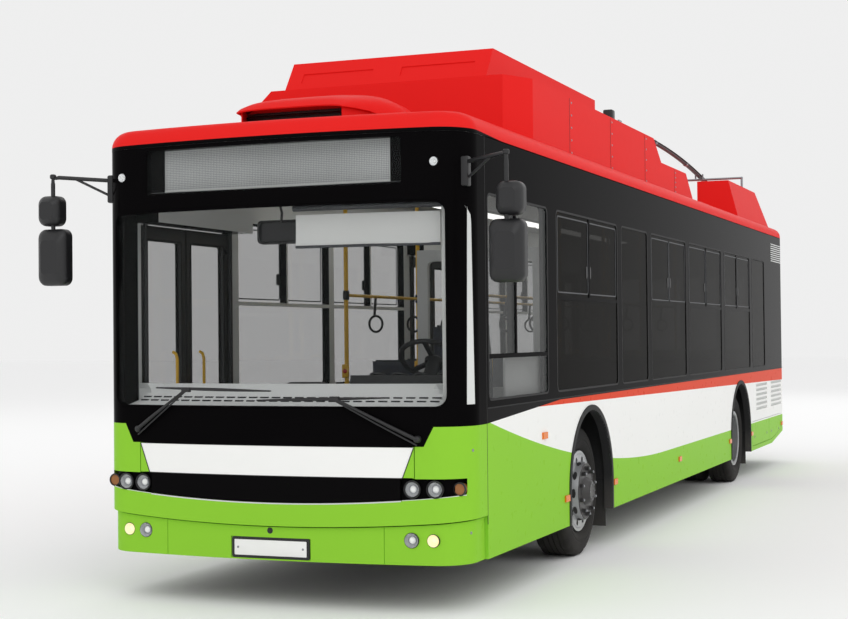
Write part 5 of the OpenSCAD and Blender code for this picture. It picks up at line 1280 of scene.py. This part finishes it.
class BUS_OT_front(bpy.types.Operator):
    """Sign blinds, blank plate with its holder, pale lines painted as a highlight under the lamp band, joint
    lines, screws and the towing cover.
    """

    bl_idname = "bus.front"
    bl_label = "Front details"

    def execute(self, context):
        sizes = context.scene.bus_sizes
        p = Piece()
        rows = []
        for k in range(25):
            t = k / 24
            curve = 0.02 * max(0.0, (t - 0.94) / 0.06) ** 2
            x0, x1 = 1.217 + 0.008 * t, 1.243 - 0.006 * t - curve
            across = [x0 + (x1 - x0) * j / 4 for j in range(5)]
            rows.append([(x, front_y(x) - 0.0015, 1.235 + 1.175 * t) for x in across])
        p.sheet(rows, "trim", 0.0012)
        for x in (0.83, -0.83):
            p.box((x - 0.055, yd(0.1175), 2.567), (x + 0.055, yd(0.1215), 2.846), "black", 0.001)
        p.box((-0.775, yd(0.1175), 2.567), (0.775, yd(0.1215), 2.579), "trim", 0.001)
        p.box((-0.88, yd(0.1225), 2.455), (0.88, yd(0.130), 2.566), "black", 0.002)
        w, h = sizes.plate_w, sizes.plate_h
        out = move(0, yd(0.0355), 0.363) @ turn("X", 90)
        p.slab(round_outline(w + 0.026, h + 0.022, 0.012), 0.010, "satin", out, 0.003)
        p.slab(round_outline(w, h, 0.010), 0.0125, "plate", out, 0.0015)
        ring_strip(p, w, h, 0.010, 0.005, 0.0135, "satin", out)
        screw = [(0.007, 0.012), (0.007, 0.0145), (0.004, 0.016), (0, 0.016)]
        for s in (1, -1):
            p.lathe(screw, "steel", out @ move(s * (w / 2 - 0.03), 0, 0), 16)
            # Pale line under the lamp band's outer ends: a painted highlight on the rim of the panel below
            edge = bow_line(s * 0.855, s * 1.21, lambda x: 0.6385 + x * x / SMILE, -0.004, 16)
            p.tube(edge, 0.0035, "trim", 8)
        # Pale line under the lamp band's middle: a painted highlight on the rim of the panel below
        p.tube(bow_line(-0.85, 0.85, lambda x: 0.6365 + x * x / SMILE, -0.002), 0.0045, "trim", 8)
        screw = [(0.009, -0.003), (0.009, 0.0008), (0.006, 0.0015), (0.003, 0.0), (0, 0.0)]
        for s in (1, -1):
            for x, z, inset in ((1.236, 0.962, 0.0), (1.216, 0.472, 0.022)):
                at = move(s * x, front_y(x, inset), z) @ turn("Z", -19.3 * s) @ turn("Y", 90 * s)
                p.lathe(screw, "steel", at, 18)
        cap = move(0, front_y(0, 0.022), 0.470) @ turn("X", 90)
        p.lathe([(0.019, -0.004), (0.019, 0.001), (0.016, 0.0025), (0, 0.0025)], "satin", cap, 24)
        p.make("front_fittings", COACH, "frame_black")
        q = Piece()
        for s in (1, -1):
            line = []
            for t in [k / 6 for k in range(7)]:
                x = FIELD_HALF_W + 0.068 * t
                line.append((s * x, front_y(x) - 0.0005, BAND_TOP + 0.178 * t))
            q.tube(line, 0.003, "rubber", 6)
        q.tube(bow_line(-FIELD_HALF_W, FIELD_HALF_W, lambda x: BAND_TOP, -0.0005), 0.0025, "rubber", 6)
        q.make("lid_trim", "front_lid", "rubber")
        return {"FINISHED"}


class BUS_OT_rear(bpy.types.Operator):
    """Hatch slats, locks and hinges, blank rear plate and sign, window seal, upper lamps and bumper strip."""

    bl_idname = "bus.rear"
    bl_label = "Rear details"

    def execute(self, context):
        sizes = context.scene.bus_sizes
        back = turn("X", -90)
        p = Piece()
        for k in range(11):
            z = 0.74 + 0.042 * k
            slat = move(0, Y_REAR - 0.004, z) @ turn("X", 28)
            p.box((-0.66, -0.004, -0.014), (0.66, 0.004, 0.014), "satin", 0.0025, 2, slat)
        ring = move(0, Y_REAR - 0.004, 0.95) @ back
        ring_strip(p, 1.38, 0.50, 0.03, 0.02, 0.009, "satin", ring)
        p.slab(round_outline(1.36, 0.48, 0.03), 0.001, "mesh", move(0, Y_REAR - 0.0005, 0.95) @ back)
        lock = [(0.018, 0), (0.018, 0.004), (0.012, 0.006), (0, 0.006)]
        for s in (1, -1):
            p.lathe(lock, "steel", move(s * 0.74, Y_REAR, 0.69) @ back, 20)
            x = s * 0.6
            p.box((x - 0.06, Y_REAR - 0.012, 1.262), (x + 0.06, Y_REAR + 0.006, 1.278), "steel", 0.004)
        p.make("hatch_trim", "rear_lid", "frame_black")
        q = Piece()
        plate = move(0, Y_REAR, 0.525) @ back
        q.slab(round_outline(sizes.plate_w + 0.03, sizes.plate_h + 0.03, 0.012), 0.006, "satin", plate, 0.002)
        q.slab(round_outline(sizes.plate_w, sizes.plate_h, 0.010), 0.009, "plate", plate, 0.0015)
        # Plate lamps, upper markers, lamp plates, bumper strip and high brake lamp
        for places, half, inset, out, z0, z1, key, r in (
            ((0.18, -0.18), 0.045, 0.001, 0.022, 0.595, 0.617, "satin", 0.006),
            ((0.95, -0.95), 0.06, 0.004, 0.010, 2.74, 2.775, "ruby", 0.006),
            ((1.04, -1.04), 0.085, 0.002, 0.004, 0.665, 1.175, "satin", 0.02),
            ((0.0,), 1.10, 0.003, 0.014, 0.425, 0.468, "rubber", 0.006),
            ((0.0,), 0.22, 0.004, 0.010, 2.62, 2.65, "ruby", 0.006),
        ):
            for x in places:
                q.box((x - half, Y_REAR - inset, z0), (x + half, Y_REAR + out, z1), key, r, 3)
        sign = move(0, Y_REAR, 2.53) @ back
        q.slab(round_outline(0.72, 0.22, 0.02), 0.006, "black", sign, 0.002)
        q.slab(round_outline(0.64, 0.15, 0.008), 0.0075, "board", sign)
        pane = move(0, Y_REAR - 0.0015, 1.90) @ back
        ring_strip(q, 1.806, 0.966, 0.083, sizes.seal + 0.004, 0.004, "rubber", pane)
        q.make("rear_fittings", COACH, "frame_black")
        return {"FINISHED"}


DOOR_MIDDLES = (1.105, 5.85, 10.35)
# Sideways place and height of the points of a leaf's inside bar
DOOR_BAR = ((-1.202, 0.80), (-1.178, 0.815), (-1.168, 0.85), (-1.168, 1.50), (-1.178, 1.535), (-1.202, 1.55))


class BUS_OT_doors(bpy.types.Operator):
    """Door seals, rubber edges, inside bars and opening buttons."""

    bl_idname = "bus.doors"
    bl_label = "Doors"

    def execute(self, context):
        for i, d in enumerate(DOOR_MIDDLES, 1):
            for e, letter in ((-1, "a"), (1, "b")):
                p = Piece()
                hinge, meet = yd(d) + e * 0.6, yd(d) + e * 0.008
                mid = (hinge + meet) / 2
                for x, wall in ((-1.2415, ON_RIGHT), (-1.2025, ON_LEFT)):
                    ring_strip(p, 0.490, 1.865, 0.035, 0.014, 0.004, "rubber", move(x, mid, 1.3865) @ wall)
                edge = meet - e * 0.001
                p.box((-1.246, edge - 0.005, 0.375), (-1.198, edge + 0.005, 2.398), "rubber", 0.003)
                p.tube([(x, mid - e * 0.12, z) for x, z in DOOR_BAR], 0.011, "rail", 10)
                p.box((-1.2445, mid - 0.20, 0.385), (-1.241, mid + 0.20, 0.445), "rubber", 0.0012)
                button = [(0.022, 0), (0.022, 0.004), (0.016, 0.005), (0.014, 0.007), (0, 0.0075)]
                p.lathe(button, "shell", move(-1.242, meet + e * 0.03, 1.32) @ turn("Y", -90), 24)
                p.make(f"door_{i}_trim_{letter}", f"door_{i}_leaf_{letter}", "rubber")
        return {"FINISHED"}


class BUS_OT_flaps(bpy.types.Operator):
    """Locks and hinge plates of the side flaps, and slats behind the side louvres."""

    bl_idname = "bus.flaps"
    bl_label = "Side flaps"

    def execute(self, context):
        disc = [(0.016, -0.001), (0.016, 0.002), (0.012, 0.003), (0.005, 0.0015), (0, 0.0015)]
        keyway = [(0.004 * math.cos(a), 0.004 * math.sin(a)) for a in (0.5, 2.6, 4.7)]
        for body, d0, d1 in (("side_flap_a", 9.68, 10.82), ("side_flap_b", 10.86, 11.72)):
            p = Piece()
            for d in (d0 + 0.15, d1 - 0.15):
                lock = move(HALF_W, yd(d), 0.44) @ ON_LEFT
                p.lathe(disc, "steel", lock, 20)
                p.slab(keyway, 0.004, "satin", lock)
                x, y = HALF_W, yd(d)
                p.box((x - 0.026, y - 0.02, 0.606), (x - 0.021, y + 0.02, 0.616), "steel", 0.001)
            p.make(f"{body}_locks", body, "steel")
        q = Piece()
        for d0, d1 in ((9.96, 10.72), (11.01, 11.80)):
            for k in range(6):
                z = 0.74 + 0.055 * k
                slat = move(HALF_W - 0.013, yd((d0 + d1) / 2), z + 0.014) @ turn("Y", 32)
                half = (d1 - d0) / 2 - 0.004
                q.box((-0.001, -half, -0.0135), (0.001, half, 0.0135), "trim", 0, 1, slat)
        q.make("louvre_slats", COACH, "white_paint")
        return {"FINISHED"}


def coil(a, b, r, wire, turns, p, mat):
    """A coil spring between two points."""
    a, b = Vector(a), Vector(b)
    along = (b - a).normalized()
    side = along.orthogonal().normalized()
    up = along.cross(side)
    n = turns * 12
    points = []
    for k in range(n + 1):
        angle = k * math.tau / 12
        points.append(a + (b - a) * k / n + (side * math.cos(angle) + up * math.sin(angle)) * r)
    p.tube(points, wire, mat, 6)


# Distance behind the front, half width, edge height and crown height of the hood's rows
HOOD_ROWS = (
    (0.32, 0.370, 3.072, 3.090),
    (0.36, 0.385, 3.072, 3.128),
    (0.44, 0.405, 3.074, 3.158),
    (0.56, 0.450, 3.068, 3.182),
    (0.68, 0.525, 3.035, 3.203),
    (0.80, 0.595, 2.990, 3.218),
    (1.00, 0.605, 2.983, 3.205),
    (1.15, 0.605, 2.983, 3.140),
    (1.28, 0.600, 2.983, 3.070),
    (1.40, 0.590, 2.983, 2.996),
)


def scoop_hood(p):
    """Rounded hood over the air scoop, its base plates, and the mesh and slats in its mouth; the mesh is a
    grille whose darkness is also painted shade of the opening behind it.
    """
    rows = []
    for d, half, low, high in HOOD_ROWS:
        row = []
        for t in [-math.cos(math.pi * k / 28) for k in range(29)]:
            row.append((half * t, yd(d), low + (high - low) * max(1 - abs(t) ** 3.5, 0.0) ** 0.4))
        rows.append(row)
    p.sheet(rows, "red", 0.010)
    for s in (1, -1):
        rows = []
        for d, half, low, _ in HOOD_ROWS[1:6]:
            rows.append([(s * (half - 0.03), yd(d), z) for z in (2.978, low + 0.012)])
        p.sheet(rows, "red", 0.008)
        p.box((s * 0.465 - 0.115, yd(0.50), 2.978), (s * 0.465 + 0.115, yd(0.90), 3.0125), "red", 0.005)
    # Dark mesh plate across the mouth: a grille, and painted shade of the scoop's depth behind it
    p.box((-0.372, yd(0.485), 2.978), (0.372, yd(0.495), 3.086), "mesh", 0.002)
    for k in range(3):
        slat = move(0, yd(0.465), 3.0 + 0.03 * k) @ turn("X", 30)
        p.box((-0.37, -0.016, -0.002), (0.37, 0.016, 0.002), "satin", 0.001, 1, slat)


# The poles' sideways place, the radius that they are bent to, and where they stand highest at rest
POLE_X = 0.40
POLE_BEND = 26.4
POLE_TOP_D = 8.1


def pole_z(d):
    """Height of a resting pole's middle line at a distance behind the front."""
    top = 3.745 + POLE_BEND - math.sqrt(POLE_BEND**2 - 1.2**2)
    return top - POLE_BEND + math.sqrt(POLE_BEND**2 - (d - POLE_TOP_D) ** 2)


class BUS_OT_roof(bpy.types.Operator):
    """Seams and screws of the roof, the scoop's hood, and the poles' springs, insulators and cables."""

    bl_idname = "bus.roof"
    bl_label = "Roof gear"

    def execute(self, context):
        p = Piece()
        for d, x, z in ((2.9, 1.08, 3.44), (4.1, 1.08, 3.44), (5.3, 1.08, 3.44), (6.5, 1.08, 3.245)):
            p.box((x - 0.001, yd(d) - 0.003, 2.99), (x + 0.0012, yd(d) + 0.003, z - 0.01), "rubber", 0.001)
            for k in range(5):
                at = move(x, yd(d) + 0.05, 3.02 + (z - 3.06) * k / 4) @ turn("Y", 90)
                p.lathe([(0.009, 0), (0.008, 0.003), (0.004, 0.005), (0, 0.005)], "steel", at, 10)
        for d in (2.62, 3.32, 4.02):
            p.box((-0.78, yd(d) - 0.003, 3.679), (0.78, yd(d) + 0.003, 3.6812), "rubber", 0.001)
        for x in (0.80, -0.80):
            for d in (9.95, 10.65, 11.35):
                p.box((x - 0.17, yd(d) - 0.003, 3.429), (x + 0.17, yd(d) + 0.003, 3.4312), "rubber", 0.001)
        for x in (-HALF_W, HALF_W - 0.003):
            p.box((x, yd(0.47), 2.848), (x + 0.003, yd(11.87), 2.856), "rubber", 0.001)
        for d in (3.3, 4.4, 5.5, 6.6, 7.7, 8.8):
            p.box((-1.12, yd(d) - 0.004, 2.979), (1.12, yd(d) + 0.004, 2.984), "red", 0.0015)
        p.make("roof_seams", COACH, "red_paint")
        h = Piece()
        scoop_hood(h)
        h.make("scoop_hood", COACH, "red_paint")
        q = Piece()
        spring_end = [(0.02, 0), (0.02, 0.03), (0.012, 0.04), (0, 0.04)]
        sheds = [(0.03, 0), (0.03, 0.02)]
        for z in (0.025, 0.047, 0.069):
            sheds += [(0.018, z), (0.034, z + 0.009), (0.018, z + 0.018)]
        sheds += [(0.014, 0.10), (0, 0.10)]
        for s in (1, -1):
            x, y = s * POLE_X, yd(6.9)
            for side in (x - 0.075, x + 0.075):
                coil((side, y - 0.02, 3.50), (side, y + 0.42, 3.62), 0.026, 0.006, 12, q, "steel")
                q.lathe(spring_end, "steel", move(side, y - 0.03, 3.49) @ turn("X", -75), 14)
                q.tube([(side, y + 0.42, 3.62), (side, y + 0.52, 3.648)], 0.009, "steel", 8)
            for j in range(4):
                a = math.radians(45 + 90 * j)
                q.lathe(sheds, "ruby", move(x + 0.15 * math.cos(a), y + 0.15 * math.sin(a), 2.985), 18)
            q.box((x - 0.20, y - 0.20, 3.05), (x + 0.20, y + 0.20, 3.075), "steel", 0.006)
            cable = ((0, 0.15, 3.10), (0.05, 0.4, 3.02), (0.1, 0.8, 3.0), (0.1, 1.15, 3.0))
            q.tube([(x - s * side, y - ahead, z) for side, ahead, z in cable], 0.016, "rubber", 10)
        q.box((0.66, yd(5.29), 3.439), (0.81, yd(5.45), 3.451), "steel", 0.004)
        q.box((0.69, yd(5.32), 3.451), (0.78, yd(5.42), 3.685), "satin", 0.014, 3)
        cap = [(0.03, 0), (0.03, 0.012), (0.022, 0.02), (0, 0.02)]
        q.lathe(cap, "rubber", move(0.735, yd(5.42), 3.55) @ turn("X", -90), 20)
        q.make("pole_fittings", COACH, "steel")
        for name, s in (("left", 1), ("right", -1)):
            r = Piece()
            x = s * POLE_X
            for d in (7.15, 8.6, 10.2, 11.8):
                lean = math.degrees(math.atan2(-(d - POLE_TOP_D), POLE_BEND))
                at = move(x, yd(d), pole_z(d)) @ turn("X", lean - 90)
                r.lathe([(0.0255, -0.03), (0.031, -0.026), (0.031, 0.026), (0.0255, 0.03)], "steel", at, 20)
            places = [7.2 + 0.3 * k for k in range(17)]
            r.tube([(x + s * 0.030, yd(d), pole_z(d) + 0.006) for d in places], 0.006, "rubber", 6)
            head = move(x, yd(12.375), pole_z(12.375) + 0.055) @ turn("Y", 90)
            r.lathe([(0.022, -0.03), (0.03, -0.02), (0.03, 0.02), (0.022, 0.03)], "steel", head, 20)
            r.make(f"pole_{name}_fittings", f"{name}_pole", "pole_black")
        return {"FINISHED"}


class BUS_OT_underbody(bpy.types.Operator):
    """Bellows, air tanks, pipes, dampers, and the motor's ribs and box."""

    bl_idname = "bus.underbody"
    bl_label = "Underbody"

    def execute(self, context):
        fold = [(0.052, 0.0), (0.052, 0.01), (0.046, 0.014), (0.058, 0.03), (0.050, 0.045)]
        fold += [(0.058, 0.060), (0.050, 0.075), (0.057, 0.09), (0.05, 0.1), (0.05, 0.109)]
        p = Piece()
        for y in Y_AXLES:
            for s in (1, -1):
                for e in (1, -1):
                    p.lathe(fold, "rubber", move(s * 0.455, y + e * 0.22, 0.1805), 28)
        p.make("bellows", COACH, "rubber", ("air_springs",))
        q = Piece()
        for y in Y_AXLES:
            for s in (1, -1):
                foot = Vector((s * 0.30, y + 0.20, 0.175))
                joint, head = foot + Vector((0, 0.05, 0.05)), foot + Vector((0, 0.10, 0.11))
                q.tube([foot, joint], 0.02, "steel", 14)
                q.tube([joint, head], 0.028, "satin", 14)
        back = turn("X", -90)
        tank = [(0, 0), (0.03, 0.004), (0.05, 0.02), (0.058, 0.05)]
        tank += [(0.058, 0.85), (0.05, 0.88), (0.03, 0.896), (0, 0.9)]
        strap = [(0.0585, -0.015), (0.062, -0.015), (0.062, 0.015), (0.0585, 0.015)]
        for s in (1, -1):
            for d in (4.05, 5.30):
                q.lathe(tank, "satin", move(s * 0.72, yd(d), 0.225) @ back, 28)
                for along in (0.2, 0.7):
                    q.lathe(strap, "steel", move(s * 0.72, yd(d) + along, 0.225) @ back, 28, True)
            pipe = [(s * 0.22, yd(0.5 + 0.5 * k), 0.272 + 0.004 * math.sin(2.1 * k)) for k in range(21)]
            q.tube(pipe, 0.009, "steel", 8)
            q.tube([(a - s * 0.03, b, c) for a, b, c in pipe], 0.007, "rubber", 8)
        q.make("underbody_lines", COACH, "frame_black")
        m = Piece()
        at = move(0.78, yd(10.05), 0.62) @ back
        for k in range(14):
            z = 0.12 + 0.045 * k
            m.lathe([(0.239, z), (0.252, z + 0.004), (0.252, z + 0.012), (0.239, z + 0.016)], "steel", at, 40)
        head = [(0.236, -0.004), (0.225, -0.018), (0.10, -0.022), (0.06, -0.03), (0, -0.03)]
        shaft = [(0.236, 0.904), (0.225, 0.918), (0.10, 0.922), (0.05, 0.94), (0.05, 0.98), (0, 0.98)]
        m.lathe(head, "steel", at, 40)
        m.lathe(shaft, "steel", at, 40)
        m.box((0.66, yd(10.25), 0.855), (0.90, yd(10.65), 0.955), "satin", 0.012, 3)
        lead = ((0, 10.64, 0.905), (0, 10.80, 0.91), (0.05, 10.95, 1.0), (0.08, 11.0, 1.075))
        for x in (0.71, 0.78, 0.85):
            m.tube([(x - side, yd(d), z) for side, d, z in lead], 0.016, "amber", 10)
        m.make("motor_trim", COACH, "steel")
        return {"FINISHED"}


class BUS_PT_looks(bpy.types.Panel):
    """Lists the pieces that can be made."""

    bl_idname = "BUS_PT_looks"
    bl_label = "Bus looks"
    bl_space_type = "VIEW_3D"
    bl_region_type = "UI"
    bl_category = "Bus"

    def draw(self, context):
        for op in OPERATORS:
            self.layout.operator(op.bl_idname)
        for group in (context.scene.bus_colours, context.scene.bus_sizes, context.scene.bus_view):
            for key in group.bl_rna.properties.keys():
                if key not in ("rna_type", "name"):
                    self.layout.prop(group, key)


OPERATORS = (
    BUS_OT_stage,
    BUS_OT_paint,
    BUS_OT_wheels,
    BUS_OT_lamps,
    BUS_OT_mirrors,
    BUS_OT_wipers,
    BUS_OT_window_trim,
    BUS_OT_seats,
    BUS_OT_cab,
    BUS_OT_cabin,
    BUS_OT_front,
    BUS_OT_rear,
    BUS_OT_doors,
    BUS_OT_flaps,
    BUS_OT_roof,
    BUS_OT_underbody,
)
GROUPS = (BusColours, BusSizes, BusView)


def register():
    for cls in (*GROUPS, *OPERATORS, BUS_PT_looks):
        bpy.utils.register_class(cls)
    bpy.types.Scene.bus_colours = bpy.props.PointerProperty(type=BusColours)
    bpy.types.Scene.bus_sizes = bpy.props.PointerProperty(type=BusSizes)
    bpy.types.Scene.bus_view = bpy.props.PointerProperty(type=BusView)


def unregister():
    for key in ("bus_colours", "bus_sizes", "bus_view"):
        delattr(bpy.types.Scene, key)
    for cls in reversed((*GROUPS, *OPERATORS, BUS_PT_looks)):
        bpy.utils.unregister_class(cls)


def main():
    register()
    for op in OPERATORS:
        kind, name = op.bl_idname.split(".")
        getattr(getattr(bpy.ops, kind), name)()


if __name__ == "__main__":
    main()
